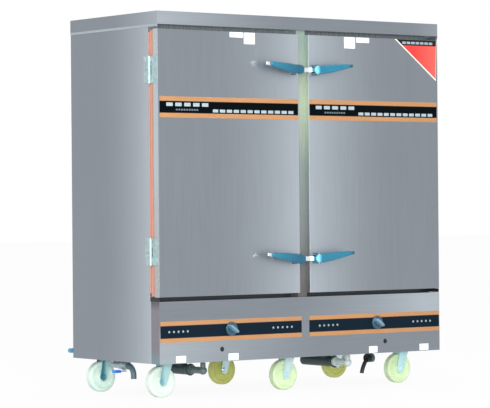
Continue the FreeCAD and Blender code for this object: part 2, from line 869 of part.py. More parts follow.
def door_hinge_leaf(level):
    """The door's leaf: a plate with the outer two knuckles."""
    lower, _, upper = hinge_zones(level)
    clear = hinge_y - hinge_knuckle_radius - hinge_knuckle_gap
    start = hinge_y - hinge_leaf_length
    pieces = [hinge_leaf_piece((start, clear), (lower[0], upper[1]))]
    for zone in (lower, upper):
        pieces.append(hinge_leaf_piece((clear, hinge_y), zone))
        pieces.append(rod(hinge_knuckle_radius, V(hinge_x, hinge_y, zone[0]), V(hinge_x, hinge_y, zone[1])))
    leaf = join(*(pieces + hinge_screws(level, start + hinge_screw_setback)))
    bore = rod(hinge_pin_radius + running_gap, V(hinge_x, hinge_y, lower[0]), V(hinge_x, hinge_y, upper[1]))
    return leaf.cut(bore)


def frame_hinge_leaf(level):
    """The cabinet's leaf: a plate with the middle knuckle and the fixed pin."""
    lower, middle, upper = hinge_zones(level)
    clear = hinge_y + hinge_knuckle_radius + hinge_knuckle_gap
    end = hinge_y + hinge_leaf_length + hinge_knuckle_gap
    plate_start = max(clear, jamb_face)
    pieces = [hinge_leaf_piece((plate_start, end), (lower[0], upper[1])), hinge_leaf_piece((hinge_y, plate_start), middle)]
    pieces.append(rod(hinge_knuckle_radius, V(hinge_x, hinge_y, middle[0]), V(hinge_x, hinge_y, middle[1])))
    pieces.append(rod(hinge_pin_radius, V(hinge_x, hinge_y, lower[0] - fit_gap), V(hinge_x, hinge_y, upper[1] + fit_gap)))
    for z, step in ((lower[0] - fit_gap, -hinge_cap_height), (upper[1] + fit_gap, hinge_cap_height)):
        pieces.append(rod(hinge_cap_radius, V(hinge_x, hinge_y, z), V(hinge_x, hinge_y, z + step)))
    return join(*(pieces + hinge_screws(level, end - hinge_screw_setback)))


# Latches

def handle_bracket(level):
    """The plate and two ears that carry a lever, with the lever's pin."""
    half = latch_hub_height / 2 + fit_gap
    base = block((latch_pivot_x - latch_base_width / 2, latch_pivot_x + latch_base_width / 2),
                 (door_front - latch_base_thick, door_front), (level - latch_base_height / 2, level + latch_base_height / 2))
    pieces = [base]
    for bottom, top in ((level - half - latch_ear_thick, level - half), (level + half, level + half + latch_ear_thick)):
        pieces.append(block((latch_pivot_x - latch_ear_radius, latch_pivot_x + latch_ear_radius),
                            (latch_pivot_y, door_front - latch_base_thick), (bottom, top)))
        pieces.append(rod(latch_ear_radius, V(latch_pivot_x, latch_pivot_y, bottom), V(latch_pivot_x, latch_pivot_y, top)))
    bracket = join(*pieces)
    reach = half + latch_ear_thick
    low = V(latch_pivot_x, latch_pivot_y, level - reach)
    high = V(latch_pivot_x, latch_pivot_y, level + reach)
    head = UP * latch_pin_head_height
    pin = join(rod(latch_pin_radius, low, high), rod(latch_pin_head_radius, low - head, low),
               rod(latch_pin_head_radius, high, high + head))
    return [bracket.cut(rod(latch_pin_radius + fit_gap, low, high)), pin]


def arm_sections(level, spare):
    """Root and tip rectangles of a lever's arm, grown by a spare."""
    thick = arm_thick / 2 + spare
    root = arm_root_height / 2 + spare
    tip = arm_tip_height / 2 + spare
    tip_y = door_front - arm_tip_reach
    tip_z = level + arm_tip_rise
    return ((latch_pivot_x, (latch_pivot_y - thick, latch_pivot_y + thick), (level - root, level + root)),
            (arm_tip_x, (tip_y - thick, tip_y + thick), (tip_z - tip, tip_z + tip)))


def latch_lever(level):
    """The metal lever: nose, hub and tapered arm."""
    bottom = level - latch_hub_height / 2
    top = level + latch_hub_height / 2
    hub = rod(latch_hub_radius, V(latch_pivot_x, latch_pivot_y, bottom), V(latch_pivot_x, latch_pivot_y, top))
    nose_half = latch_nose_height / 2
    nose = block((latch_pivot_x - latch_nose_length, latch_pivot_x),
                 (latch_pivot_y - latch_nose_thick / 2, latch_pivot_y + latch_nose_thick / 2),
                 (level - nose_half, level + nose_half))
    arm = loft_box(*arm_sections(level, 0))
    bore = rod(latch_pin_radius + running_gap, V(latch_pivot_x, latch_pivot_y, bottom),
               V(latch_pivot_x, latch_pivot_y, top))
    return join(hub, nose, arm).cut(bore)


def lever_grip(level):
    """The plastic cover over a lever's arm, with a tongue over the pivot."""
    root_half = grip_root_height / 2
    tip_half = grip_tip_height / 2
    tip_z = level + arm_tip_rise
    root = (grip_start_x, (door_front - grip_root_front, door_front - grip_root_back), (level - root_half, level + root_half))
    tip = (grip_end_x, (door_front - handle_reach, door_front - grip_tip_back), (tip_z - tip_half, tip_z + tip_half))
    body = loft_box(root, tip)
    long_edges = [e for e in body.Edges if e.BoundBox.XLength > grip_tongue]
    body = body.makeFillet(grip_round, long_edges)
    tongue_half = root_half - grip_round
    tongue = block((grip_start_x - grip_tongue, grip_start_x),
                   (door_front - grip_root_front, door_front - grip_root_front + grip_tongue_thick),
                   (level - tongue_half, level + tongue_half))
    return join(body, tongue).cut(loft_box(*arm_sections(level, fit_gap)))


def latch_striker(level):
    """The catch on the centre post that both noses of a level meet."""
    half = striker_base_width / 2
    base_front = post_front - striker_base_thick
    head_front = door_front - striker_reach
    base = block((-half, half), (base_front, post_front), (level - striker_base_height / 2, level + striker_base_height / 2))
    stem = block((-striker_stem_width / 2, striker_stem_width / 2), (head_front, base_front),
                 (level - striker_stem_height / 2, level + striker_stem_height / 2))
    head = block((-striker_head_width / 2, striker_head_width / 2), (head_front, head_front + striker_head_thick),
                 (level - striker_head_height / 2, level + striker_head_height / 2))
    pieces = [base, stem, head]
    for x in (-striker_screw_pitch / 2, striker_screw_pitch / 2):
        pieces.append(rod(striker_screw_radius, V(x, base_front, level), V(x, base_front - striker_screw_height, level)))
    return join(*pieces)


# Gas side

def gas_knob():
    """A round gas knob with a slanting grip bar and its shaft."""
    back = door_front - 2 * band_thick - fit_gap
    centre = V(knob_x, back, knob_z)
    skirt = Part.makeCone(knob_radius, knob_radius - 2, knob_skirt, centre, -BACKWARD)
    grip = block((knob_x - knob_grip_length / 2, knob_x + knob_grip_length / 2),
                 (back - knob_skirt - knob_grip_height, back - knob_skirt / 2),
                 (knob_z - knob_grip_width / 2, knob_z + knob_grip_width / 2))
    grip = grip.common(rod(knob_radius - 3, centre, centre - BACKWARD * (knob_skirt + knob_grip_height)))
    grip.rotate(centre, BACKWARD, knob_grip_turn)
    shaft = rod(knob_shaft_radius, centre, V(knob_x, door_front + knob_shaft_depth, knob_z))
    return join(skirt, grip, shaft)


def gas_pipework():
    """Valves behind the knobs, the manifold, the inlet and the two burner feeds."""
    pipe_y = door_front + manifold_y
    pipe_z = knob_z - manifold_drop
    tail_y = cabinet_back + gas_inlet_reach
    thread_y = tail_y - gas_thread_length
    corner = V(gas_inlet_x, pipe_y, pipe_z)
    pieces = [rod(gas_pipe_radius, V(-knob_x, pipe_y, pipe_z), corner), Part.makeSphere(gas_pipe_radius, corner),
              rod(gas_pipe_radius, corner, V(gas_inlet_x, thread_y, pipe_z)),
              rod(gas_thread_radius, V(gas_inlet_x, thread_y, pipe_z), V(gas_inlet_x, tail_y, pipe_z))]
    bores = [rod(gas_pipe_radius / 2, corner, V(gas_inlet_x, tail_y, pipe_z))]
    for sign in (-1, 1):
        x = sign * knob_x
        neck_end = door_front + sheet + valve_neck_length
        pieces.append(rod(valve_neck_radius, V(x, door_front + sheet, knob_z), V(x, neck_end, knob_z)))
        pieces.append(rod(valve_radius, V(x, neck_end, knob_z), V(x, door_front + valve_back, knob_z)))
        pieces.append(rod(valve_riser_radius, V(x, pipe_y, pipe_z), V(x, pipe_y, knob_z)))
        bores.append(rod(knob_shaft_radius + running_gap, V(x, door_front + sheet, knob_z),
                         V(x, door_front + knob_shaft_depth + fit_gap, knob_z)))
        pieces += feed_run(x)
    body = join(*pieces)
    for bore in bores:
        body = body.cut(bore)
    return body


def feed_run(x):
    """The gas feed from a valve, down through the pan and by a fitting into the mixer's mouth."""
    y = door_front + feed_drop_y
    mouth = door_front + mixer_front
    top = V(x, y, knob_z)
    corner = V(x, y, mixer_z)
    neck = corner + UP * feed_top_nut_rise
    nut = V(x, mouth - feed_nut_length, mixer_z)
    return [rod(feed_radius, V(x, door_front + valve_back, knob_z), top), Part.makeSphere(feed_radius, top),
            rod(feed_radius, top, corner), rod(feed_top_nut_radius, corner, neck),
            Part.makeSphere(feed_corner_radius, corner), rod(feed_fitting_radius, corner, nut),
            rod(feed_nut_radius, nut, V(x, mouth, mixer_z))]


def gas_burner():
    """A cast burner grid on feet, with its neck and the mixer tube below the pan."""
    top = burner_bottom + burner_bar_height
    depth = (door_front + burner_bar_front, door_front + burner_bar_back)
    neck_y = door_front + mixer_neck_y
    spread = burner_bar_pitch * (burner_bar_count - 1) / 2
    pieces = []
    for number in range(burner_bar_count):
        x = knob_x - spread + number * burner_bar_pitch
        pieces.append(block((x - burner_bar_width / 2, x + burner_bar_width / 2), depth, (burner_bottom, top)))
        if number in (0, burner_bar_count - 1):
            for y in (depth[0], depth[1] - burner_foot):
                pieces.append(block((x - burner_foot / 2, x + burner_foot / 2), (y, y + burner_foot), (pan_top, burner_bottom)))
    pieces.append(block((knob_x - spread, knob_x + spread),
                        (neck_y - burner_header_width / 2, neck_y + burner_header_width / 2), (burner_bottom, top)))
    pieces.append(rod(mixer_neck_radius, V(knob_x, neck_y, mixer_z), V(knob_x, neck_y, burner_bottom)))
    front = door_front + mixer_front
    pieces.append(rod(mixer_radius, V(knob_x, front, mixer_z), V(knob_x, door_front + mixer_back, mixer_z)))
    mouth = Part.makeCone(mixer_mouth_radius, mixer_radius, mixer_mouth_length, V(knob_x, front, mixer_z), BACKWARD)
    return join(*(pieces + [mouth]))


# Water side

def drain_line():
    """Left tank's drain: drop pipe, ball valve body and the black outlet bend."""
    x = -drain_x
    y = door_front + drain_y
    valve_y = door_front + drain_valve_y
    half = drain_valve_length / 2
    corner = V(x, y, drain_z)
    outer = join(rod(water_pipe_radius, V(x, y, tank_bottom), corner), Part.makeSphere(water_pipe_radius, corner),
                 rod(water_pipe_radius, corner, V(x, valve_y + half, drain_z)))
    inner = join(rod(water_pipe_bore, V(x, y, tank_bottom), corner), Part.makeSphere(water_pipe_bore, corner),
                 rod(water_pipe_bore, corner, V(x, valve_y + half, drain_z)))
    centre = V(x, valve_y, drain_z)
    body = join(rod(water_pipe_radius + ball_boss_wall, centre + BACKWARD * half, centre - BACKWARD * half),
                Part.makeSphere(drain_valve_radius, centre),
                rod(ball_stem_radius + ball_boss_wall, centre, centre - UP * drain_boss_reach),
                stem_rod(centre - UP * drain_boss_reach, -UP))
    return [outer.cut(inner), body, drain_bend(x, valve_y - half)]


def stem_rod(start, along):
    """A valve's stem, long enough to hold its lever."""
    return rod(ball_stem_radius, start, start + along * (ball_stem_length + ball_lever_thick + fit_gap))


def drain_bend(x, start_y):
    """A quarter bend of hose that turns from backward to down, with a straight tail."""
    radius = drain_elbow_radius
    diagonal = radius * math.sqrt(0.5)
    centre = V(x, start_y, drain_z - radius)
    middle = centre + V(0, -diagonal, diagonal)
    end = centre + V(0, -radius, 0)
    arc = Part.Arc(V(x, start_y, drain_z), middle, end).toShape()
    tail = Part.makeLine(end, end - UP * drain_tail)
    return bend_pipe(drain_hose_radius, drain_hose_bore, [arc, tail])


def overflow_line():
    """Right tank's overflow: standpipe, fitting and a short black hose."""
    y = door_front + overflow_y
    top = V(overflow_x, y, tank_top - overflow_freeboard)
    bottom = V(overflow_x, y, overflow_top)
    half = overflow_fitting_length / 2
    level = overflow_top - overflow_fitting_radius
    drop = pipe(water_pipe_radius, water_pipe_bore, top, bottom)
    fitting = rod(overflow_fitting_radius, V(overflow_x - half, y, level), V(overflow_x + half, y, level))
    cap = rod(water_pipe_radius + 2, V(overflow_x, y, level), bottom)
    start = V(overflow_x - half + overflow_hose_radius, y, level)
    bend = V(overflow_x - overflow_bend[0], y, overflow_bend[1])
    end = V(overflow_x - overflow_end[0], y, overflow_end[1])
    path = Part.Arc(start, bend, end).toShape()
    along = path.tangentAt(path.FirstParameter)
    hose = Part.Wire([path]).makePipeShell([Part.Wire(Part.makeCircle(overflow_hose_radius, start, along))], True, False)
    fitting = join(fitting, cap)
    return [drop, fitting, hose.cut(fitting)]


def balance_pipe():
    """The pipe that keeps both tanks at one level."""
    reach = mouth_inner + tank_wall
    y = chamber_back - balance_setback
    return pipe(balance_radius, balance_radius - 2, V(-reach, y, balance_z), V(reach, y, balance_z))


def float_box():
    """The float valve box on the back, with its lid and the pipe into the left tank."""
    x = (-float_box_x - float_box_width / 2, -float_box_x + float_box_width / 2)
    top = float_box_bottom + float_box_height
    depth = (cabinet_back, cabinet_back + rear_reach - sheet)
    box = block(x, depth, (float_box_bottom, top))
    inside = block((x[0] + sheet, x[1] - sheet), (depth[0] + sheet, depth[1] - sheet), (float_box_bottom + sheet, top))
    feed = pipe(balance_radius, balance_radius - 2, V(-float_box_x, chamber_back - tank_wall, float_pipe_z()),
                V(-float_box_x, cabinet_back + sheet, float_pipe_z()))
    port = rod(balance_radius, V(-float_box_x, cabinet_back, float_pipe_z()),
               V(-float_box_x, cabinet_back + sheet, float_pipe_z()))
    lid = block((x[0] - sheet, x[1] + sheet), (cabinet_back, depth[1] + sheet), (top - float_box_lid, top + sheet))
    lid = lid.cut(block(x, depth, (top - float_box_lid, top)))
    return [box.cut(inside).cut(port), feed, lid]


def water_inlet():
    """The ball valve on the back with its riser to the float box and its threaded tail."""
    x = -water_valve_x
    y = cabinet_back + water_valve_reach
    half = water_valve_length / 2
    centre = V(x, y, water_valve_z)
    top = centre + UP * half
    bottom = centre - UP * half
    return join(rod(water_inlet_radius + ball_boss_wall, bottom, top), Part.makeSphere(water_valve_radius, centre),
                rod(ball_stem_radius + ball_boss_wall, centre, centre + BACKWARD * water_boss_reach),
                rod(water_inlet_radius, bottom, bottom - UP * water_inlet_length),
                rod(water_inlet_radius, top, V(x, y, float_box_bottom)),
                stem_rod(centre + BACKWARD * water_boss_reach, BACKWARD))


def drain_valve_lever():
    """The lever under the drain valve, closed across the pipe."""
    x = -drain_x
    y = door_front + drain_valve_y
    top = drain_lever_z
    bottom = top - ball_lever_thick
    half = ball_lever_width / 2
    end = x - ball_lever_length
    arm = block((end + half, x + ball_lever_heel), (y - half, y + half), (bottom, top))
    middle = (bottom + top) / 2
    sleeve_half = ball_sleeve_width / 2
    low = middle - ball_sleeve_thick / 2
    high = middle + ball_sleeve_thick / 2
    sleeve = block((end + sleeve_half, end + ball_sleeve_length), (y - sleeve_half, y + sleeve_half), (low, high))
    tip = rod(sleeve_half, V(end + sleeve_half, y, low), V(end + sleeve_half, y, high))
    hole = rod(ball_stem_radius + running_gap, V(x, y, bottom), V(x, y, top))
    return join(arm, sleeve, tip).cut(hole)


def water_valve_lever():
    """The lever behind the water inlet valve, closed across the pipe."""
    x = -water_valve_x
    z = water_valve_z
    near = valve_lever_y
    far = near + ball_lever_thick
    half = ball_lever_width / 2
    end = x - ball_lever_length
    arm = block((end + half, x + ball_lever_heel), (near, far), (z - half, z + half))
    middle = (near + far) / 2
    sleeve_half = ball_sleeve_width / 2
    front = middle - ball_sleeve_thick / 2
    back = middle + ball_sleeve_thick / 2
    sleeve = block((end + sleeve_half, end + ball_sleeve_length), (front, back), (z - sleeve_half, z + sleeve_half))
    tip = rod(sleeve_half, V(end + sleeve_half, front, z), V(end + sleeve_half, back, z))
    hole = rod(ball_stem_radius + running_gap, V(x, near, z), V(x, far, z))
    return join(arm, sleeve, tip).cut(hole)


def flue():
    """The right chamber's flue: a flat duct behind the liner with a round collar."""
    half = flue_width / 2
    bottom = tank_bottom - flue_bottom_drop
    back = liner_back + flue_depth
    duct = block((chamber_x - half, chamber_x + half), (liner_back, back), (bottom, flue_top))
    inside = block((chamber_x - half + flue_sheet, chamber_x + half - flue_sheet),
                   (liner_back + flue_sheet, back - flue_sheet), (bottom, flue_top - flue_sheet))
    start = V(chamber_x, cabinet_back + outlet_neck, flue_collar_z)
    end = V(chamber_x, cabinet_back + flue_collar_reach, flue_collar_z)
    neck = rod(flue_neck_radius, V(chamber_x, back, flue_collar_z), start)
    collar = rod(flue_collar_radius, start, end)
    way = rod(flue_neck_radius - flue_sheet, V(chamber_x, back - flue_sheet, flue_collar_z), end)
    return join(duct.cut(inside), neck, collar).cut(way)


def steam_vent():
    """The right chamber's steam relief tube through the back."""
    x = chamber_x + vent_offset
    inner = V(x, chamber_back, vent_z())
    start = V(x, cabinet_back + outlet_neck, vent_z())
    end = V(x, cabinet_back + vent_reach, vent_z())
    return join(rod(vent_neck_radius, inner, start), rod(vent_radius, start, end)).cut(rod(vent_bore, inner, end))


# Every sub-part by name

add("top_cap", [top_cap()])
add("left_side_panel", [mirrored(side_panel())])
add("right_side_panel", [side_panel()])
add("back_panel", [back_panel()])
add("front_frame", front_frame())
add("centre_post", [centre_post()])
add("control_panel", [control_panel()])
add("control_label_strips", control_label_strips())
add("chamber_liners", chamber_liners())
add("cabinet_insulation", cabinet_insulation())
add("water_tanks", water_tank(drain_x, door_front + drain_y, water_pipe_bore, "left")
    + water_tank(overflow_x, door_front + overflow_y, water_pipe_radius + fit_gap, "right"))
add("tray_racks", tray_racks())
add("rice_trays", rice_trays())
add("base_frame", base_frame())
add("burner_floor_pan", [floor_pan()])
add("gas_burners", both_sides(gas_burner()))
add("gas_pipework", [gas_pipework()])
add("water_feed_and_drain", drain_line() + overflow_line() + [balance_pipe()] + float_box() + [water_inlet()])
add("flues_and_vents", both_sides(flue()) + both_sides(steam_vent()))
add("latch_strikers", [latch_striker(level) for level in latch_levels])
frame_leaves = []
for hinge_level in hinge_levels:
    frame_leaves += both_sides(frame_hinge_leaf(hinge_level))
add("hinge_frame_leaves", frame_leaves)
add("drain_valve_lever", [drain_valve_lever()])
add("water_valve_lever", [water_valve_lever()])

for side_name in ("left", "right"):
    add(side_name + "_door_shell", [on_side(door_shell(), side_name)])
    add(side_name + "_door_inner_panel", [on_side(door_inner_panel(), side_name)])
    add(side_name + "_door_insulation", [on_side(door_insulation(), side_name)])
    add(side_name + "_door_gasket", [on_side(door_gasket(), side_name)])
    add(side_name + "_door_label_band", [on_side(door_label_band(), side_name)])
    add(side_name + "_door_hinge_leaves", [on_side(door_hinge_leaf(level), side_name) for level in hinge_levels])
    brackets = []
    for latch_name, latch_level in zip(("upper", "lower"), latch_levels):
        brackets += [on_side(piece, side_name) for piece in handle_bracket(latch_level)]
        add(side_name + "_" + latch_name + "_lever", [on_side(latch_lever(latch_level), side_name)])
        add(side_name + "_" + latch_name + "_grip", [on_side(lever_grip(latch_level), side_name)])
    add(side_name + "_handle_brackets", brackets)
    add(side_name + "_gas_knob", [on_side(gas_knob(), side_name)])

mounts = []
for row, caster_y in (("front", front_caster_y), ("rear", rear_caster_y)):
    for column, caster_x in (("left", -caster_spread), ("middle", 0.0), ("right", caster_spread)):
        mounts += caster_mount(caster_x, caster_y)
        add(row + "_" + column + "_caster_fork", caster_fork(caster_x, caster_y))
        add(row + "_" + column + "_wheel", [caster_wheel(caster_x, caster_y)])
add("caster_mounts", mounts)

os.makedirs("parts", exist_ok=True)
for name, shape in nodes.items():
    shape.exportStep("parts/" + name + ".step")
print(len(nodes), "sub-parts written")
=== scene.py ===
# %% [markdown]
# A gas rice steamer: a stainless double-door cabinet on six casters.
# The packed model brings every hard part in its true place. This lesson gives those parts their
# finishes, and adds what sheet-metal drawings leave out: crowned seals, moulded levers, labels and marks.

# %% Load the fixed model
import math

import bpy
import numpy as np
from mathutils import Matrix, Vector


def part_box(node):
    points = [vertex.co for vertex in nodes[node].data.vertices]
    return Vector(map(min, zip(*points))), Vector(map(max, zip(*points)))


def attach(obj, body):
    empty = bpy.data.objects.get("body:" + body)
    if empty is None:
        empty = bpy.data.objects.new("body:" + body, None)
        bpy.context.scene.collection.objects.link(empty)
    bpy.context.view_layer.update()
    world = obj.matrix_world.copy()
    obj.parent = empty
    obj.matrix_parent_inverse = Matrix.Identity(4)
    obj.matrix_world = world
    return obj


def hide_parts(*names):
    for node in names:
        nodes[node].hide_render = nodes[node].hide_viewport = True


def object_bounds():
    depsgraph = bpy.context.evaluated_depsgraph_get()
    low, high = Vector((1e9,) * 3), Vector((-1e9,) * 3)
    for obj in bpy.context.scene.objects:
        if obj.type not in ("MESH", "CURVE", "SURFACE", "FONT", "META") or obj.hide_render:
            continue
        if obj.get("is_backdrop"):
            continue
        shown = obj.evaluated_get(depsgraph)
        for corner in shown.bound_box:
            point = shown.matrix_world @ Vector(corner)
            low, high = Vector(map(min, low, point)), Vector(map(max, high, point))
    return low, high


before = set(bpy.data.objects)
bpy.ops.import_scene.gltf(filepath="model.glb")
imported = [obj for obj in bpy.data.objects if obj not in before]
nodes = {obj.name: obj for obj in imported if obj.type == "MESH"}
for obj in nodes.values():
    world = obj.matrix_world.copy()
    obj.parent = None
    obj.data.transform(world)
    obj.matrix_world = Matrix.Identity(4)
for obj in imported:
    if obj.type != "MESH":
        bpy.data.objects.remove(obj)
cad_low, cad_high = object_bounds()
print("nodes", len(nodes), "box", [round(v, 3) for v in (*cad_low, *cad_high)])

# %% [markdown]
# The photograph was taken from the front left with a long lens, at about half the cabinet's height.
# A camera can be aimed with a track constraint, but three known angles and a place give the same view
# each time, so the turn is written out as a matrix of right, up and backward directions.

# %% Camera
def camera_matrix(place, yaw, pitch, roll):
    """A camera's place and turn. Forward points yaw to the right of +Y and pitch up; roll turns about it."""
    forward = np.array([math.sin(yaw) * math.cos(pitch), math.cos(yaw) * math.cos(pitch), math.sin(pitch)])
    level = np.array([math.cos(yaw), -math.sin(yaw), 0.0])
    upright = np.cross(level, forward)
    right = math.cos(roll) * level + math.sin(roll) * upright
    up = math.cos(roll) * upright - math.sin(roll) * level
    turn = np.eye(4)
    turn[:3, 0], turn[:3, 1], turn[:3, 2], turn[:3, 3] = right, up, -forward, place
    return Matrix(turn.tolist())


camera_place = (-6.2858, -8.3749, 0.7539)
yaw, pitch, roll = math.radians(36.605), math.radians(0.081), math.radians(-0.4637)
camera = bpy.data.objects.new("camera", bpy.data.cameras.new("camera"))
bpy.context.scene.collection.objects.link(camera)
camera.matrix_world = camera_matrix(camera_place, yaw, pitch, roll)
camera.data.sensor_width = 36.0
camera.data.lens = 183.2
camera.data.clip_end = 100.0
bpy.context.scene.camera = camera
print("camera lens", camera.data.lens)

# %% [markdown]
# Paint charts and photographs give colours as sRGB, while Blender's shaders work in linear light.
# A picked colour that skips this step looks washed out, so one helper does the curve for all of them.

# %% Colour helper
def linear(red, green, blue):
    """An sRGB colour in 0 to 255 as linear light, by the usual curve."""
    c = np.array([red, green, blue]) / 255.0
    c = np.where(c <= 0.04045, c / 12.92, ((c + 0.055) / 1.055) ** 2.4)
    return (*c.tolist(), 1.0)


print("middle grey as linear light", [round(v, 3) for v in linear(128, 128, 128)])

# %% [markdown]
# A finish is built up from coordinates: a ramp turns a height or a distance into a mask from 0 to 1,
# and the mask mixes two colours. One class holds the shader, so that a recipe reads like a sentence.

# %% Recipe class

class Recipe:
    """One finish: a Principled shader and the nodes that feed it."""

    def __init__(self, name, colour, metallic, roughness):
        self.material = bpy.data.materials.new(name)
        self.material.use_nodes = True
        self.tree = self.material.node_tree
        self.shader = self.tree.nodes["Principled BSDF"]
        self.shader.inputs["Base Color"].default_value = colour
        self.shader.inputs["Metallic"].default_value = metallic
        self.shader.inputs["Roughness"].default_value = roughness
        self.place = self.add("TexCoord").outputs["Object"]
        split = self.add("SeparateXYZ")
        self.tree.links.new(self.place, split.inputs[0])
        self.x, self.y, self.z = split.outputs

    def add(self, kind, **settings):
        """A node of one kind with its settings."""
        node = self.tree.nodes.new("ShaderNode" + kind)
        for key, value in settings.items():
            setattr(node, key, value)
        return node

    def put(self, value, socket):
        """A number, a colour or another node's output into a socket."""
        if isinstance(value, bpy.types.NodeSocket):
            self.tree.links.new(value, socket)
        elif isinstance(value, tuple):
            socket.default_value = value[:len(socket.default_value)]
        else:
            socket.default_value = value

    def math(self, operation, *values, clamp=False):
        """Arithmetic on numbers and outputs."""
        node = self.add("Math", operation=operation, use_clamp=clamp)
        for value, socket in zip(values, node.inputs):
            self.put(value, socket)
        return node.outputs[0]

    def ramp(self, value, start, end):
        """0 at start, 1 at end, straight between and held outside."""
        node = self.add("MapRange", clamp=True)
        for item, socket in zip((value, start, end, 0.0, 1.0), node.inputs):
            self.put(item, socket)
        return node.outputs[0]

    def inside(self, value, low, high, soft=0.0004):
        """1 between two limits and 0 outside, with a soft edge."""
        rise = self.ramp(value, low - soft, low + soft)
        fall = self.ramp(value, high + soft, high - soft)
        return self.both(rise, fall)

    def both(self, first, second):
        """The part that two masks share."""
        return self.math("MULTIPLY", first, second)

    def blend(self, factor, first, second):
        """A mix of two colours."""
        node = self.add("Mix", data_type="RGBA")
        self.put(factor, node.inputs[0])
        self.put(first, node.inputs[6])
        self.put(second, node.inputs[7])
        return node.outputs[2]

    def noise(self, scale, stretch=(1, 1, 1), detail=3.0):
        """Cloudy variation, squeezed or drawn out along each axis."""
        mapping = self.add("Mapping")
        self.put(self.place, mapping.inputs["Vector"])
        mapping.inputs["Scale"].default_value = stretch
        node = self.add("TexNoise")
        self.put(mapping.outputs[0], node.inputs["Vector"])
        node.inputs["Scale"].default_value = scale
        node.inputs["Detail"].default_value = detail
        return node.outputs["Fac"]

    def stops(self, value, low, high, colours):
        """Colours spaced evenly between two values, straight between neighbours."""
        node = self.add("ValToRGB")
        elements = node.color_ramp.elements
        while len(elements) < len(colours):
            elements.new(0.5)
        for number, colour in enumerate(colours):
            elements[number].position = number / (len(colours) - 1)
            elements[number].color = colour
        self.put(self.ramp(value, low, high), node.inputs[0])
        return node.outputs[0]

    def spread(self, value, low, high):
        """Noise between two levels."""
        node = self.add("MapRange")
        for item, socket in zip((value, 0.3, 0.7, low, high), node.inputs):
            self.put(item, socket)
        return node.outputs[0]

    def shade(self, colour, value):
        """A colour made lighter or darker by a factor."""
        node = self.add("VectorMath", operation="SCALE")
        self.put(colour, node.inputs[0])
        self.put(value, node.inputs["Scale"])
        return node.outputs[0]

    def finish(self, colour=None, roughness=None, height=None, depth=0.0001):
        """Feeds colour, roughness and a bump into the shader and returns the material."""
        if colour is not None:
            self.put(colour, self.shader.inputs["Base Color"])
        if roughness is not None:
            self.put(roughness, self.shader.inputs["Roughness"])
        if height is not None:
            bump = self.add("Bump")
            bump.inputs["Strength"].default_value = 0.35
            bump.inputs["Distance"].default_value = depth
            self.put(height, bump.inputs["Height"])
            self.put(bump.outputs[0], self.shader.inputs["Normal"])
        return self.material


print("recipe steps", [name for name in vars(Recipe) if not name.startswith("_")])

# %% [markdown]
# Stainless sheet has a fine brushed grain along one direction, and large flat sheets pick up a soft bright
# sweep of reflected light near one edge. A mirror-smooth metal would show that sweep only from one place, so
# here it is painted light: a slow change of the metal's colour, held in the object's coordinates, under the
# grain.

# %% Brushed stainless
STEEL = linear(140, 147, 155)
STEEL_PAINTED_SHEEN = linear(181, 189, 197)
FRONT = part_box("left_door_shell")[0].y


def stainless(name, stretch, sweep, rough=0.34, zones=()):
    """Brushed steel: sweep(recipe) runs from 0, plain, to 1, painted sheen; a zone is a mask with a matt tone
    of painted light or shade.
    """
    r = Recipe(name, STEEL, 1.0, rough)
    grain = r.noise(260.0, stretch, 2.0)
    cloud = r.noise(3.0, (1, 1, 1), 2.0)
    colour = r.blend(sweep(r), STEEL, STEEL_PAINTED_SHEEN)
    metal = r.math("ADD", 1.0, 0.0)
    for mask, tint in zones:
        share = mask(r)
        colour = r.blend(share, colour, tint(r) if callable(tint) else tint)
        metal = r.math("MULTIPLY", metal, r.math("SUBTRACT", 1.0, r.math("MULTIPLY", share, 0.8)))
    r.put(metal, r.shader.inputs["Metallic"])
    shade = r.math("MULTIPLY", r.spread(grain, 0.965, 1.035), r.spread(cloud, 0.985, 1.015))
    return r.finish(r.shade(colour, shade), r.spread(grain, rough - 0.05, rough + 0.07), grain, 0.00004)


print("door front at", round(FRONT, 4))

# %% [markdown]
# Each sheet has its bright sweep in its own place: the doors beside the post, the cap at its left end,
# the side sheets at their front edge. A sweep is a ramp along one axis raised to a power, which keeps
# most of the sheet plain and lets the light rise quickly near the edge.

# %% Painted sweeps of light
def sweep_middle(r):
    """Bright beside the centre post, fading over half a door."""
    share = r.ramp(r.math("ABSOLUTE", r.x), 0.50, 0.026)
    return r.math("POWER", share, 1.9)


def sweep_left(r):
    """Bright at the left end, with a little at the right end."""
    left = r.math("POWER", r.ramp(r.x, -0.05, -0.725), 1.4)
    right = r.math("MULTIPLY", r.ramp(r.x, 0.60, 0.76), 0.35)
    return r.math("MAXIMUM", left, right)


def sweep_front(r):
    """Bright towards the front edge of a side sheet."""
    return r.math("POWER", r.ramp(r.y, 0.12, -0.26), 2.1)


def sweep_cap(r):
    """The cap's front runs from bright at the left; its left skirt from bright at the front."""
    skirt = r.math("MULTIPLY", r.math("POWER", r.ramp(r.y, 0.0, -0.32), 1.3), 0.75)
    on_skirt = r.math("MULTIPLY", r.ramp(r.x, -0.7256, -0.7260), r.ramp(r.y, FRONT + 0.0002, FRONT + 0.0006))
    keep = r.math("MULTIPLY", sweep_left(r), r.math("SUBTRACT", 1.0, on_skirt))
    return r.math("ADD", keep, r.math("MULTIPLY", skirt, on_skirt))


def sweep_panel(r):
    """Above the strips the panel is bright at the right, below them at the left."""
    upper = r.ramp(r.z, 0.235, 0.300)
    over = r.both(r.math("POWER", r.ramp(r.x, -0.10, 0.64), 1.6), upper)
    under = r.both(r.math("POWER", r.ramp(r.x, 0.10, -0.725), 1.3), r.math("SUBTRACT", 1.0, upper))
    return r.math("ADD", over, under)


def flat_tone(level):
    """The same brightness all over."""
    return lambda r: r.math("ADD", level, 0.0)


print("sweeps", [f.__name__ for f in (sweep_middle, sweep_left, sweep_front, sweep_cap, sweep_panel)])
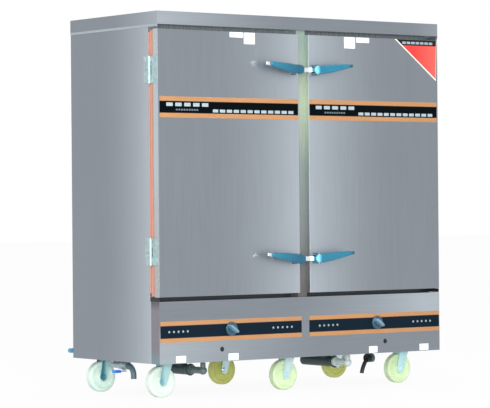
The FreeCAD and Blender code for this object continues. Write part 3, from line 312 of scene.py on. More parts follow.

# %% [markdown]
# Where a sheet is folded back it turns away from the light and mirrors something else, so the folds get
# flat, matt tones of painted light and shade. A zone is a mask made of ramps with one such painted tone, laid
# over the brushed steel.

# %% Painted light and shade on the folded edges
PANEL_TOP = 0.3852
MOUTH_LOW, MOUTH_HIGH = 0.4048, 1.4600


def behind(r, depth):
    """1 further back than a depth behind the door front."""
    return r.ramp(r.y, FRONT + depth, FRONT + depth + 0.0006)


def post_painted_reflection(r):
    """Painted reflection of the room by height between the doors: brown at the foot, then grey, moss, pale
    green and sea green.
    """
    brown, grey, moss = linear(102, 99, 98), linear(127, 133, 134), linear(134, 148, 143)
    pale, sea = linear(174, 187, 164), linear(146, 166, 156)
    return r.stops(r.z, 0.41, 1.43, [brown, grey, moss, pale, sea])


def left_return(r):
    """The folded side of a sheet at the machine's left edge."""
    return r.both(r.ramp(r.x, -0.7240, -0.7247), behind(r, 0.0012))


def inner_return(r):
    """The folded side of a door next to the centre post."""
    return r.both(r.inside(r.math("ABSOLUTE", r.x), 0.024, 0.0266), behind(r, 0.0006))


def above(r, level):
    """1 higher than a level."""
    return r.ramp(r.z, level, level + 0.0004)


def below_mouth(r):
    """1 on the frame's sill, under the chamber mouths."""
    return r.ramp(r.z, MOUTH_LOW, MOUTH_LOW - 0.0006)


# Door folds: the left return gets a flat painted light tone, greyer towards the foot; the returns beside the
# post carry the post's painted reflection, made lighter deep in the gap against the shade there.
door_zones = (
    (left_return, linear(170, 178, 182)),
    (lambda r: r.both(left_return(r), r.ramp(r.z, 0.9, 0.4)), linear(158, 158, 158)),
    (inner_return, post_painted_reflection),
    (lambda r: r.both(inner_return(r), behind(r, 0.0165)), lambda r: r.shade(post_painted_reflection(r), 1.5)),
)
# Panel folds: painted shade on the left return, darkest near the top and lighter and bluer near the foot, and
# painted shade on the lip behind the lower gap.
panel_zones = (
    (left_return, linear(122, 115, 123)),
    (lambda r: r.both(left_return(r), r.ramp(r.z, 0.35, 0.378)), linear(78, 78, 88)),
    (lambda r: r.both(left_return(r), r.ramp(r.z, 0.20, 0.15)), linear(110, 131, 138)),
    (lambda r: r.both(above(r, PANEL_TOP), behind(r, 0.002)), linear(96, 104, 108)),
)
# Cap: the lip behind the upper gap gets a lighter flat tone, painted light against the shade of the gap.
cap_zones = (
    (lambda r: r.both(r.inside(r.z, 1.4700, 1.4794), behind(r, 0.0014)), linear(158, 168, 172)),
)
# Frame: painted shade on the sill in the lower gap, lighter at its left end; a grey painted tone in the upper
# gap; a pale pink strip of painted light along the left edge.
frame_zones = (
    (below_mouth, linear(44, 52, 56)),
    (lambda r: r.both(below_mouth(r), r.ramp(r.x, -0.70, -0.715)), linear(110, 112, 122)),
    (lambda r: r.ramp(r.z, MOUTH_HIGH, MOUTH_HIGH + 0.0006), linear(128, 138, 142)),
    (lambda r: r.both(r.ramp(r.x, -0.7190, -0.7200), r.inside(r.z, 0.42, 1.45)), linear(232, 176, 162)),
)
print("zones", len(door_zones), len(panel_zones), len(cap_zones), len(frame_zones))

# %% [markdown]
# The same steel now serves every sheet. Only the direction of the brushing, the sweep, the gloss and
# the folded edges differ: a door is brushed upright, the cap and the panel from side to side.

# %% Stainless sheets
UPRIGHT, LEVEL, DEEP = (1, 1, 0.02), (0.02, 1, 1), (1, 0.02, 1)
steel_door = stainless("steel_door", UPRIGHT, sweep_middle, rough=0.46, zones=door_zones)
steel_cap = stainless("steel_cap", LEVEL, sweep_cap, zones=cap_zones)
steel_panel = stainless("steel_panel", LEVEL, sweep_panel, zones=panel_zones)
steel_frame = stainless("steel_frame", UPRIGHT, flat_tone(0.55), rough=0.27, zones=frame_zones)
steel_side = stainless("steel_side", UPRIGHT, sweep_front)
steel_back = stainless("steel_back", UPRIGHT, flat_tone(0.15))
steel_inner = stainless("steel_inner", DEEP, flat_tone(0.55), rough=0.27)
steel_tray = stainless("steel_tray", (1, 1, 1), flat_tone(0.7), rough=0.24)
print("stainless finishes", [m.name for m in bpy.data.materials if m.name.startswith("steel")])

# %% [markdown]
# The centre post sits in shade between the doors, so it mirrors the room: pale green above, brown and
# dark below. Five painted tints by height stand in for that reflection, without depending on any room.

# %% Post finish
def post_finish():
    """Steel with a painted reflection by height: brown below, grey-green above."""
    r = Recipe("steel_post", STEEL, 0.35, 0.4)
    colour = post_painted_reflection(r)
    grain = r.noise(260.0, UPRIGHT, 2.0)
    return r.finish(r.shade(colour, r.spread(grain, 0.97, 1.03)), r.spread(grain, 0.36, 0.46), grain, 0.00004)


steel_post = post_finish()
print("post finish", steel_post.name)

# %% [markdown]
# Bought parts have plain finishes of their own: plating on hinges and brackets, black iron burners,
# rubber, foam, knob plastic, paper and ink. Two recipes do them all, one for plating and one for the
# rest, because only colour, gloss and the strength of the mottling change.

# %% Plated and moulded finishes
def plated(name, colour, rough, mottled=0.04):
    """Plated steel: faint mottling and tiny scratches in the gloss."""
    r = Recipe(name, colour, 1.0, rough)
    spots = r.noise(90.0, (1, 1, 1), 4.0)
    scratch = r.noise(700.0, (1, 0.05, 1), 1.0)
    shade = r.spread(spots, 1 - mottled, 1 + mottled)
    return r.finish(r.shade(colour, shade), r.spread(scratch, rough - 0.06, rough + 0.08), scratch, 0.00003)


def moulded(name, colour, rough, dark=0.93, coat=0.0):
    """Moulded plastic or rubber: slight colour drift and a fine pebbled skin."""
    r = Recipe(name, colour, 0.0, rough)
    r.shader.inputs["Coat Weight"].default_value = coat
    drift = r.noise(14.0, (1, 1, 1), 3.0)
    pebble = r.noise(900.0, (1, 1, 1), 2.0)
    shaded = r.shade(colour, r.spread(drift, dark, 1.04))
    return r.finish(shaded, r.spread(pebble, rough - 0.05, rough + 0.06), pebble, 0.00005)


chrome = plated("chrome", linear(196, 206, 212), 0.20)
hinge_chrome = plated("hinge_chrome", linear(184, 202, 204), 0.62, 0.16)
bracket_steel = plated("bracket_steel", linear(112, 128, 134), 0.34)
zinc = plated("zinc", linear(196, 220, 226), 0.34, 0.08)
galvanised = plated("galvanised", linear(150, 156, 158), 0.45, 0.12)
cast_iron = moulded("cast_iron", linear(52, 72, 74), 0.5, 0.7)
foam = moulded("foam", linear(226, 214, 170), 0.85, 0.9)
seal_rubber = moulded("seal_rubber", linear(192, 136, 115), 0.48, 0.95)
knob_plastic = moulded("knob_plastic", linear(40, 80, 98), 0.26, 0.8, 0.3)
# The grip bar's lighter copy of the knob plastic is a painted highlight, where its ridge catches the light.
knob_painted_highlight = moulded("knob_painted_highlight", linear(112, 150, 172), 0.24, 0.85, 0.3)
sticker_paper = moulded("sticker_paper", linear(246, 248, 248), 0.55, 0.98)
# The white plate on each knob's rim is a painted highlight: a glint at the dial's top edge.
glint_white = moulded("glint_white", linear(214, 224, 228), 0.5, 0.96)
ink_grey = moulded("ink_grey", linear(150, 164, 172), 0.5, 0.96)
ink_pale = moulded("ink_pale", linear(166, 182, 190), 0.5, 0.96)
ink_dim = moulded("ink_dim", linear(92, 108, 118), 0.5, 0.96)
print("plain finishes", len(bpy.data.materials))

# %% [markdown]
# Some small parts catch the light on one side only: the lever covers, the levers' tips, the gas fittings
# and the forks. Lamps would have to be aimed at each, so their light and shade are painted: their colour
# changes along X instead. The two ball valve levers are steel, dipped in blue plastic, which is the same ramp
# with a sharp edge.

# %% Painted light on small parts, and dipped levers
def cover_finish():
    """Blue plastic with painted light and shade: deeper towards the left root, very pale at the right root,
    where the light catches it.
    """
    middle, deep, pale = linear(24, 116, 144), linear(14, 80, 106), linear(122, 208, 226)
    r = Recipe("blue_plastic", middle, 0.0, 0.28)
    r.shader.inputs["Coat Weight"].default_value = 0.3
    r.shader.inputs["Specular IOR Level"].default_value = 0.35
    at_right = r.ramp(r.x, 0.0, 0.001)
    at_left = r.math("SUBTRACT", 0.85, at_right, clamp=True)
    colour = r.blend(r.both(r.ramp(r.x, -0.17, -0.06), at_left), middle, deep)
    colour = r.blend(r.both(r.ramp(r.x, 0.052, 0.037), at_right), colour, pale)
    pebble = r.noise(900.0, (1, 1, 1), 2.0)
    return r.finish(colour, r.spread(pebble, 0.25, 0.34), pebble, 0.00004)


def nose_finish():
    """Bright chrome, with painted shade on the levers' right tips, where their covers shade them."""
    bright, shaded = linear(230, 238, 242), linear(62, 118, 138)
    r = Recipe("chrome_nose", bright, 1.0, 0.16)
    scratch = r.noise(700.0, (1, 0.05, 1), 1.0)
    colour = r.blend(r.ramp(r.x, 0.19, 0.20), bright, shaded)
    return r.finish(colour, r.spread(scratch, 0.12, 0.22), scratch, 0.00003)


def fitting_finish():
    """Gas fittings: painted shade under the left burner, painted light under the right one."""
    r = Recipe("fitting", linear(212, 226, 222), 0.0, 0.4)
    mottle = r.noise(140.0, (1, 1, 1), 3.0)
    colour = r.blend(r.ramp(r.x, -0.05, 0.05), linear(98, 118, 116), linear(222, 238, 234))
    colour = r.shade(colour, r.spread(mottle, 0.94, 1.04))
    return r.finish(colour, r.spread(mottle, 0.34, 0.46), mottle, 0.00003)


def fork_finish(name, left, right, edge):
    """Pale zinc of one fork, with painted light and shade: one tone on each side of a soft edge along X."""
    r = Recipe(name, right, 0.25, 0.4)
    mottle = r.noise(90.0, (1, 1, 1), 4.0)
    colour = r.blend(r.ramp(r.x, edge - 0.008, edge + 0.008), left, right)
    colour = r.shade(colour, r.spread(mottle, 0.95, 1.05))
    return r.finish(colour, r.spread(mottle, 0.36, 0.46), mottle, 0.00003)


def dipped(name, edge, blue):
    """A ball valve lever: steel, dipped in blue beyond an edge along X."""
    steel = linear(170, 180, 182)
    r = Recipe(name, steel, 1.0, 0.36)
    dip = r.ramp(r.x, edge + 0.0003, edge - 0.0003)
    scratch = r.noise(400.0, (0.1, 1, 1), 2.0)
    r.put(r.math("SUBTRACT", 1.0, dip), r.shader.inputs["Metallic"])
    return r.finish(r.blend(dip, steel, blue), r.spread(scratch, 0.28, 0.42), scratch, 0.00004)


blue_plastic = cover_finish()
fitting = fitting_finish()
fork_zinc_painted_light = {
    "front_left": fork_finish("zinc_front_left", linear(118, 172, 184), linear(176, 216, 218), -0.640),
    "front_middle": fork_finish("zinc_front_middle", linear(196, 226, 230), linear(206, 232, 234), -0.022),
    "front_right": fork_finish("zinc_front_right", linear(200, 240, 244), linear(190, 232, 236), 0.593),
    "rear_left": fork_finish("zinc_rear_left", linear(58, 128, 142), linear(176, 220, 222), -0.630)}
chrome_nose = nose_finish()
drain_lever = dipped("drain_lever", -0.6700, linear(28, 120, 226))
water_lever = dipped("water_lever", -0.6800, linear(92, 158, 190))
print("fork finishes", list(fork_zinc_painted_light))

# %% [markdown]
# A nylon wheel is translucent milky plastic. Some light goes under its skin, so a little subsurface
# keeps it soft; a slow cloudy stain marks it, and it is darker towards the bottom.

# %% Nylon
def nylon(name, colour, darker_colour, upper=None):
    """Milky plastic with a slow cloudy stain, darker towards the bottom; a yellow wheel can have a paler
    upper half.
    """
    r = Recipe(name, colour, 0.0, 0.42)
    r.shader.inputs["Subsurface Weight"].default_value = 0.12
    r.shader.inputs["Subsurface Radius"].default_value = (0.004, 0.004, 0.003)
    stain = r.ramp(r.noise(22.0, (1, 1, 1), 4.0), 0.45, 0.75)
    low = r.ramp(r.z, 0.03, 0.0)
    darkening = r.math("MAXIMUM", r.math("MULTIPLY", stain, 0.45), r.math("MULTIPLY", low, 0.5))
    base = r.blend(r.ramp(r.z, 0.066, 0.080), colour, upper) if upper else colour
    return r.finish(r.blend(darkening, base, darker_colour), r.spread(stain, 0.36, 0.5), stain, 0.00004)


nylon_white = nylon("nylon_white", linear(224, 240, 228), linear(200, 218, 200))
nylon_pale = nylon("nylon_pale", linear(222, 244, 232), linear(190, 214, 200))
nylon_green = nylon("nylon_green", linear(220, 242, 198), linear(190, 210, 160))
nylon_yellow = nylon("nylon_yellow", linear(224, 230, 132), linear(196, 198, 104))
nylon_mixed = nylon("nylon_mixed", linear(224, 230, 132), linear(196, 198, 104), linear(216, 232, 216))
print("nylon finishes", [m.name for m in bpy.data.materials if m.name.startswith("nylon")])

# %% [markdown]
# Pipework under the cabinet is steel with rubber at its ends: a grey bend on the drain and a black hose
# on the overflow. All of it is one part, so the finish asks where a point is and turns to rubber inside
# the two boxes that hold them.

# %% Pipe finish with rubber ends
def piping():
    """Threaded steel, with grey rubber on the drain's bend and black on the overflow's hose and fitting; the
    fitting's far end is grey-green, its dark grey with a painted highlight.
    """
    r = Recipe("piping", linear(150, 152, 150), 0.4, 0.4)
    bend_place = r.both(r.ramp(r.y, 0.0148, 0.0142), r.ramp(r.z, 0.15, 0.149))
    hose_place = r.both(r.inside(r.y, -0.15, -0.10), r.ramp(r.z, 0.126, 0.125))
    bend = r.both(r.inside(r.x, -0.67, -0.63), bend_place)
    hose = r.both(r.inside(r.x, 0.43, 0.53), hose_place)
    rubber = r.math("MAXIMUM", bend, hose)
    hose_black_and_highlight = r.blend(r.ramp(r.x, 0.498, 0.506), linear(18, 26, 30), linear(88, 112, 112))
    rubber_tint = r.blend(hose, linear(82, 108, 114), hose_black_and_highlight)
    mottle = r.noise(60.0, (1, 1, 1), 4.0)
    colour = r.blend(rubber, r.shade(linear(168, 184, 188), r.spread(mottle, 0.85, 1.1)), rubber_tint)
    r.put(r.math("MULTIPLY", 0.4, r.math("SUBTRACT", 1.0, rubber)), r.shader.inputs["Metallic"])
    return r.finish(colour, r.spread(mottle, 0.34, 0.52), mottle, 0.00006)


pipe_finish = piping()
print("pipe finish", pipe_finish.name)

# %% [markdown]
# The printed bands are film: near-black between two orange borders. The border is a matter of height
# alone, so the finish compares Z with the band's own lower and upper edge, read from the model.

# %% Printed film
def film(name, node, border, black):
    """Black film with an orange border along its lower and upper edge."""
    low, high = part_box(node)
    r = Recipe(name, black, 0.0, 0.32)
    r.shader.inputs["Specular IOR Level"].default_value = 0.04
    orange = linear(186, 137, 96)
    inner = r.inside(r.z, low.z + border, high.z - border, 0.0012)
    drift = r.noise(8.0, (1, 1, 1), 3.0)
    colour = r.shade(r.blend(inner, orange, black), r.spread(drift, 0.96, 1.04))
    return r.finish(colour, r.spread(drift, 0.28, 0.38), drift)


door_film = film("door_film", "left_door_label_band", 0.018, linear(2, 8, 12))
panel_film = film("panel_film", "control_label_strips", 0.017, linear(18, 32, 44))
print("films", door_film.name, panel_film.name)

# %% [markdown]
# Every node of the packed model now takes its finish. A table of names is easier to read and to change
# than a long run of assignments, and a loop reports any name that was forgotten.

# %% Dress the packed nodes
dress = {
    "top_cap": steel_cap, "control_panel": steel_panel, "left_side_panel": steel_side,
    "right_side_panel": steel_side, "back_panel": steel_back, "front_frame": steel_frame,
    "centre_post": steel_post, "chamber_liners": steel_inner, "cabinet_insulation": foam,
    "tray_racks": steel_inner, "rice_trays": steel_tray, "water_tanks": steel_inner,
    "base_frame": galvanised, "burner_floor_pan": galvanised, "gas_burners": cast_iron,
    "gas_pipework": fitting,
    "control_label_strips": panel_film, "caster_mounts": zinc, "hinge_frame_leaves": hinge_chrome,
    "latch_strikers": chrome_nose, "water_feed_and_drain": pipe_finish, "flues_and_vents": steel_back,
    "drain_valve_lever": drain_lever, "water_valve_lever": water_lever,
}
for side in ("left", "right"):
    dress.update({f"{side}_door_shell": steel_door, f"{side}_door_inner_panel": steel_inner,
                  f"{side}_door_insulation": foam, f"{side}_door_gasket": seal_rubber,
                  f"{side}_door_label_band": door_film, f"{side}_door_hinge_leaves": hinge_chrome,
                  f"{side}_handle_brackets": bracket_steel, f"{side}_gas_knob": knob_plastic,
                  f"{side}_upper_lever": chrome_nose, f"{side}_lower_lever": chrome_nose,
                  f"{side}_upper_grip": blue_plastic, f"{side}_lower_grip": blue_plastic})
wheel_nylon = {"front_left": nylon_white, "rear_left": nylon_pale, "rear_middle": nylon_yellow,
               "rear_right": nylon_mixed}
for row in ("front", "rear"):
    for column in ("left", "middle", "right"):
        place = f"{row}_{column}"
        dress[f"{place}_caster_fork"] = fork_zinc_painted_light.get(place, zinc)
        dress[f"{place}_wheel"] = wheel_nylon.get(place, nylon_green)
for name, node in nodes.items():
    node.data.materials.clear()
    node.data.materials.append(dress[name])
print("dressed", len(nodes), "nodes")

# %% [markdown]
# New pieces are surfaces on a grid of points. Rings of points carried along a path make a skin: each
# ring is joined to the next, and the ends are closed with one flat face. Signed volume, the sum of
# the small pyramids under each face, tells whether the faces look outward.

# %% Surface helpers
def ring_faces(rings, points, closed):
    """Four-sided faces between neighbouring rings; closed joins the last ring to the first."""
    along = np.arange(rings if closed else rings - 1)[:, None]
    around = np.arange(points)[None, :]
    after, beside = (along + 1) % rings, (around + 1) % points
    first, second = along * points + around, after * points + around
    third, fourth = after * points + beside, along * points + beside
    return np.stack([first, second, third, fourth], -1).reshape(-1, 4)


def signed_volume(corners, faces):
    """Six times the volume, from the pyramids between the origin and each face."""
    a, b, c, d = (corners[faces[:, i]] for i in range(4))
    return np.einsum("ij,ij->", a, np.cross(b, c)) + np.einsum("ij,ij->", a, np.cross(c, d))


def skin(name, rings, body, finish, closed=False, sharp=40.0):
    """A closed piece from an array of rings, shape (rings, points, 3), riding on a body."""
    rings = np.asarray(rings, float)
    count, points = rings.shape[:2]
    corners = rings.reshape(-1, 3)
    faces = ring_faces(count, points, closed)
    if signed_volume(corners - corners.mean(0), faces) < 0:
        faces = faces[:, ::-1]
    polygons = faces.tolist()
    if not closed:
        first, last = list(range(points)), list(range((count - 1) * points, count * points))
        ends = [first, last[::-1]]
        if not ends_outward(corners, ends):
            ends = [end[::-1] for end in ends]
        polygons += ends
    return piece(name, corners, polygons, body, finish, sharp)


def ends_outward(corners, ends):
    """True when the first end's normal points away from the middle of the piece."""
    ring = corners[ends[0]]
    following = np.roll(ring, -1, 0)
    normal = np.cross(ring, following).sum(0)
    return float(normal @ (ring.mean(0) - corners.mean(0))) > 0


def piece(name, corners, polygons, body, finish, sharp=40.0):
    """A mesh object with one finish, riding on a body."""
    mesh = bpy.data.meshes.new(name)
    mesh.from_pydata(np.asarray(corners).tolist(), [], polygons)
    mesh.materials.append(finish)
    mesh.polygons.foreach_set("use_smooth", np.ones(len(mesh.polygons), bool))
    mesh.set_sharp_from_angle(angle=math.radians(sharp))
    mesh.validate()
    made = bpy.data.objects.new(name, mesh)
    bpy.context.scene.collection.objects.link(made)
    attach(made, body)
    return made


print("faces between three rings of four points", len(ring_faces(3, 4, False)))

# %% [markdown]
# The door seal is a thick silicone extrusion with a rounded lip on each side and a shallow channel
# between, mitred at the corners. Its section is drawn once and pushed out along four straight runs.

# %% Door seals
def seal_section(width, depth):
    """A closed section: flat at the door, rounded lips at the frame, a groove between the lips."""
    turn = np.linspace(0, math.pi / 2, 7)
    lip, groove_depth, side_dent = 0.006, 0.0035, 0.0016
    right = np.stack([width / 2 - lip + lip * np.cos(turn), depth - lip + lip * np.sin(turn)], 1)
    across = np.linspace(width / 2 - lip, -width / 2 + lip, 15)[1:-1]
    wave = np.cos(2 * math.pi * across / (width - 2 * lip))
    groove = np.stack([across, depth - groove_depth * (0.5 + 0.5 * wave)], 1)
    left = right[::-1] * [-1, 1]
    side = np.array([[-width / 2, depth * 0.62], [-width / 2 + side_dent, depth * 0.5],
                     [-width / 2, depth * 0.38], [-width / 2, 0.0]])
    return np.concatenate([right, groove, left, side, side[::-1] * [-1, 1]])


for side in ("left", "right"):
    low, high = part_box(f"{side}_door_gasket")
    width, depth = 0.032, high.y - low.y
    section = seal_section(width, depth)
    middle = np.array([(low.x + high.x) / 2, (low.z + high.z) / 2])
    half = np.array([(high.x - low.x) / 2, (high.z - low.z) / 2]) - width / 2
    corner = np.array([[-1, -1], [1, -1], [1, 1], [-1, 1]])
    flat = middle + corner[:, None, :] * (half + section[None, :, :1])
    rings = np.stack([flat[..., 0], np.broadcast_to(low.y + section[:, 1], flat.shape[:2]), flat[..., 1]], -1)
    seal = skin(f"{side}_door_seal", rings, f"{side}_door", seal_rubber, closed=True)
    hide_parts(f"{side}_door_gasket")
    print(seal.name, "section points", len(section))

# %% [markdown]
# The gaps above and below each door end in a thin strip near the side sheet, so nobody sees the room
# through them. Its colour is painted shade. A strip is a flat box: two rings of four points.

# %% Gap strips
def gap_finish():
    """Steel with painted shade: near black below the doors, grey above them."""
    dark, grey = linear(30, 36, 40), linear(96, 106, 108)
    r = Recipe("gap_steel", dark, 0.0, 0.6)
    drift = r.noise(60.0, (1, 1, 1), 2.0)
    colour = r.shade(r.blend(r.ramp(r.z, 0.9, 1.0), dark, grey), r.spread(drift, 0.95, 1.04))
    return r.finish(colour, r.spread(drift, 0.5, 0.68), drift)


gap_steel = gap_finish()
door_low, door_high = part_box("left_door_shell")
near_y, far_y = FRONT + 0.0008, FRONT + 0.0632
strip_faces = (0.7230, 0.7242)
gaps = {"lower": (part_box("control_panel")[1].z, door_low.z), "upper": (door_high.z, door_high.z + 0.018)}
for place, (gap_low, gap_high) in gaps.items():
    foot, head = gap_low + 0.0008, gap_high - 0.0012
    section = np.array([[near_y, foot], [far_y, foot], [far_y, head], [near_y, head]])
    for side, sign in (("left", -1.0), ("right", 1.0)):
        ends = [np.column_stack([np.full(4, sign * x), section]) for x in strip_faces]
        skin(f"{side}_{place}_gap_strip", ends, "cabinet", gap_steel)
print("gap strips", round(door_low.z, 4), round(door_high.z, 4))

# %% [markdown]
# The blue lever covers are moulded wings: broad and deep at the root, thin at the tip, crowned in front.
# A superellipse with its size and centre read along the length gives that crown and soft edges.

# %% Lever covers
def superellipse(turns, width, height, power):
    """A rounded rectangle: |x/w|^p + |y/h|^p = 1."""
    c, s = np.cos(turns), np.sin(turns)
    return np.sign(c) * np.abs(c) ** (2 / power) * width, np.sign(s) * np.abs(s) ** (2 / power) * height


def wing(level, front, sign):
    """Rings of one cover. Along it the half height, front and back faces and rise change smoothly."""
    x = np.array([29, 29.6, 31, 34, 39, 48, 62.2, 63.5, 68, 76, 88, 104, 122, 142, 162, 180, 192, 197.5,
                  200, 201]) / 1000
    half = np.interp(x, np.array([29, 29.6, 31, 34, 39, 50, 78, 104, 145, 184, 196.5, 199.2, 201]) / 1000,
                     [6, 8.5, 11.5, 14.5, 17, 18.4, 18.4, 17.4, 14.2, 10.8, 9.2, 7.5, 4]) / 1000
    near = np.interp(x, [0.029, 0.031, 0.038, 0.08, 0.193, 0.201],
                     [0.0440, 0.0465, 0.0482, 0.0500, 0.0558, 0.0535])
    far = np.interp(x, [0.029, 0.0622, 0.0640, 0.075, 0.193, 0.201],
                    [0.0362, 0.0362, 0.0225, 0.0205, 0.0370, 0.0415])
    rise = 0.0195 * ((x - 0.053) / (0.200 - 0.053)).clip(0, None) ** 1.1
    turns = np.linspace(0, 2 * math.pi, 40, endpoint=False)
    deep, tall = superellipse(turns, 1.0, 1.0, 2.7)
    y = front - ((near + far) / 2)[:, None] - ((near - far) / 2)[:, None] * deep[None, :]
    z = level + rise[:, None] + half[:, None] * tall[None, :]
    return np.stack([np.broadcast_to(sign * x[:, None], y.shape), y, z], -1)


striker_low, striker_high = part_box("latch_strikers")
half_striker = 0.012
lever_levels = {"upper": striker_high.z - half_striker, "lower": striker_low.z + half_striker}
for side, sign in (("left", -1.0), ("right", 1.0)):
    for height, level in lever_levels.items():
        lever = f"{side}_{height}"
        cover = skin(f"{lever}_cover", wing(level, FRONT, sign), f"{lever}_handle", blue_plastic,
                     sharp=60.0)
        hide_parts(f"{lever}_grip")
print("lever covers at", {height: round(level, 3) for height, level in lever_levels.items()})

# %% [markdown]
# Labels and marks are film or ink: real thickness is under half a millimetre, but a separate thin
# piece keeps its edge crisp. Each is a flat outline pushed out a little, many of them in one mesh.

# %% Flat marks
def plates(name, outlines, y, thick, body, finish):
    """Thin plates standing off a front face: each outline is an array of x, z corners."""
    corners, polygons, start = [], [], 0
    for outline in outlines:
        outline = np.asarray(outline, float)
        n = len(outline)
        area = np.sum(outline[:, 0] * np.roll(outline[:, 1], -1) - np.roll(outline[:, 0], -1) * outline[:, 1])
        outline = outline if area > 0 else outline[::-1]
        back = np.stack([outline[:, 0], np.full(n, y), outline[:, 1]], 1)
        corners += [back, back - [0, thick, 0]]
        around = np.arange(n)
        polygons.append((start + n + around).tolist())
        polygons.append((start + around[::-1]).tolist())
        sides = np.stack([around, (around + 1) % n, (around + 1) % n + n, around + n], 1) + start
        polygons += sides.tolist()
        start += 2 * n
    return piece(name, np.concatenate(corners), polygons, body, finish, 30.0)


def rounded(x0, x1, z0, z1, r):
    """A rectangle's outline with rounded corners."""
    turn = np.linspace(0, math.pi / 2, 5)
    centres = ((x1 - r, z1 - r, 0), (x0 + r, z1 - r, 1), (x0 + r, z0 + r, 2), (x1 - r, z0 + r, 3))
    arcs = []
    for cx, cz, quarter in centres:
        angle = turn + quarter * math.pi / 2
        arcs.append(np.stack([cx + r * np.cos(angle), cz + r * np.sin(angle)], 1))
    return np.concatenate(arcs)


millimetres = 0.001
stickers = {
    "left_door": [(-374, -307, 1437, 1458), (-303, -248, 1412, 1458)],
    "right_door": [(215, 273, 1411, 1458), (279, 349, 1437, 1458)],
    "cabinet": [(-648, -600, 143, 170), (-392, -342, 143, 170), (335, 381, 143, 170), (612, 662, 143, 170)],
}
label_thick, ink_thick = 0.0003, 0.0002
for body, boxes in stickers.items():
    outlines = [rounded(*(np.array(b) * millimetres), 0.002) for b in boxes]
    plates(f"{body}_stickers", outlines, FRONT, label_thick, body, sticker_paper)

# %% [markdown]
# Each band carries rows of plain blocks, which keep the rhythm of light on dark that the eye sees
# from across the room. A block is printed ink, so it is a plate a fifth of a millimetre thick.

# %% Printed blocks and marks
def block_row(start, stop, count, low, high, share=0.72):
    """A row of equal blocks between two places, at one height."""
    pitch = (stop - start) / count
    places = start + pitch * np.arange(count)
    return [rounded(*(np.array([x, x + pitch * share, low, high]) * millimetres), 0.0015) for x in places]


band_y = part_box("left_door_label_band")[0].y
for side, start in (("left", -718.0), ("right", 30.0)):
    marks = block_row(start + 32, start + 248, 5, 1156, 1170)
    marks += block_row(start + 258, start + 672, 12, 1134, 1146, 0.76)
    plates(f"{side}_band_marks", marks, band_y, ink_thick, f"{side}_door", ink_pale)
    small = block_row(start + 78, start + 190, 9, 1139, 1146)
    plates(f"{side}_band_small_marks", small, band_y, ink_thick, f"{side}_door", ink_dim)

turns = np.linspace(0, 2 * math.pi, 14, endpoint=False)
dot_radius, dot_level, margin = 4.6, 266, 6
dots = []
for start, stop in ((-686, -585), (-172, -65), (68, 173), (572, 678)):
    for x in np.linspace(start + margin, stop - margin, 5):
        dot = np.stack([x + dot_radius * np.cos(turns), dot_level + dot_radius * np.sin(turns)], 1)
        dots.append(dot * millimetres)
strip_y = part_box("control_label_strips")[0].y + 0.0005
plates("panel_dots", dots, strip_y, ink_thick, "cabinet", ink_grey)
print("marks and dots placed")

# %% [markdown]
# The right door's upper corner has a triangular label: red, with a dark header and two pale borders.
# Distance to a straight edge is a sum of X and Z, so two such distances give the borders.

# %% Corner label
def corner_label(name, a, b, c, header, border):
    """Red, paler to the right, dark above the header, with a white slanting edge and a pale right edge."""
    r = Recipe(name, linear(236, 74, 70), 0.0, 0.4)
    r.shader.inputs["Specular IOR Level"].default_value = 0.2
    middle = (np.array(a) + b + c) / 3
    colour = r.blend(r.ramp(r.x, 0.60, 0.715), linear(232, 66, 62), linear(240, 100, 90))
    colour = r.blend(r.ramp(r.z, header - 0.0008, header + 0.0008), colour, linear(20, 24, 28))
    borders = ((b, c, 0.6 * border, linear(226, 182, 172)), (c, a, border, linear(240, 234, 226)))
    for p, q, width, tint in borders:
        p, q = np.array(p), np.array(q)
        normal = np.array([q[1] - p[1], p[0] - q[0]]) / np.linalg.norm(q - p)
        if normal @ (middle - p) < 0:
            normal = -normal
        along_x = r.math("MULTIPLY", r.x, float(normal[0]))
        along_z = r.math("MULTIPLY", r.z, float(normal[1]))
        distance = r.math("SUBTRACT", r.math("ADD", along_x, along_z), float(normal @ p))
        colour = r.blend(r.ramp(distance, width + 0.0006, width - 0.0006), colour, tint)
    drift = r.noise(10.0, (1, 1, 1), 3.0)
    colour = r.shade(colour, r.spread(drift, 0.96, 1.03))
    return r.finish(colour, r.spread(drift, 0.34, 0.46), drift)


label_corners = [(0.489, 1.4585), (0.7215, 1.4585), (0.7155, 1.287)]
label_finish = corner_label("corner_label", *label_corners, 1.434, 0.0055)
label_marks = block_row(530, 702, 7, 1440, 1450, 0.8)
plates("corner_label", [label_corners], FRONT, label_thick, "right_door", label_finish)
plates("corner_label_marks", label_marks, FRONT - label_thick, ink_thick, "right_door", ink_grey)
print("corner label placed")

# %% [markdown]
# Gas knobs are turned mouldings: a dished skirt with a rounded rim, and a grip bar that slopes across it.
# The skirt is a profile spun about its axis; the bar is a superellipse that narrows towards the front.

# %% Gas knobs
def spun(profile, centre, count):
    """Rings about an axis along Y: profile is an array of radius and distance in front of the centre."""
    turn = np.linspace(0, 2 * math.pi, count, endpoint=False)
    r, out = profile[:, :1], profile[:, 1:]
    x, z = centre[0] + r * np.cos(turn), centre[2] + r * np.sin(turn)
    return np.stack([x, centre[1] - out + 0 * turn, z], -1)


def grip_bar(centre, length, width, start, stop, angle):
    """A bar across the knob: superellipse sections parallel to the panel, narrower at the front."""
    turn = np.linspace(0, 2 * math.pi, 36, endpoint=False)
    out = np.array([0.0, 0.35, 0.7, 0.88, 0.96, 1.0])
    size = np.array([1.0, 0.97, 0.93, 0.88, 0.78, 0.55])
    x, z = superellipse(turn, length / 2, width / 2, 3.2)
    x, z = x[None, :] * size[:, None], z[None, :] * size[:, None]
    ca, sa = math.cos(angle), math.sin(angle)
    y = centre[1] - (start + (stop - start) * out)[:, None] + 0 * x
    return np.stack([centre[0] + x * ca + z * sa, y, centre[2] - x * sa + z * ca], -1)


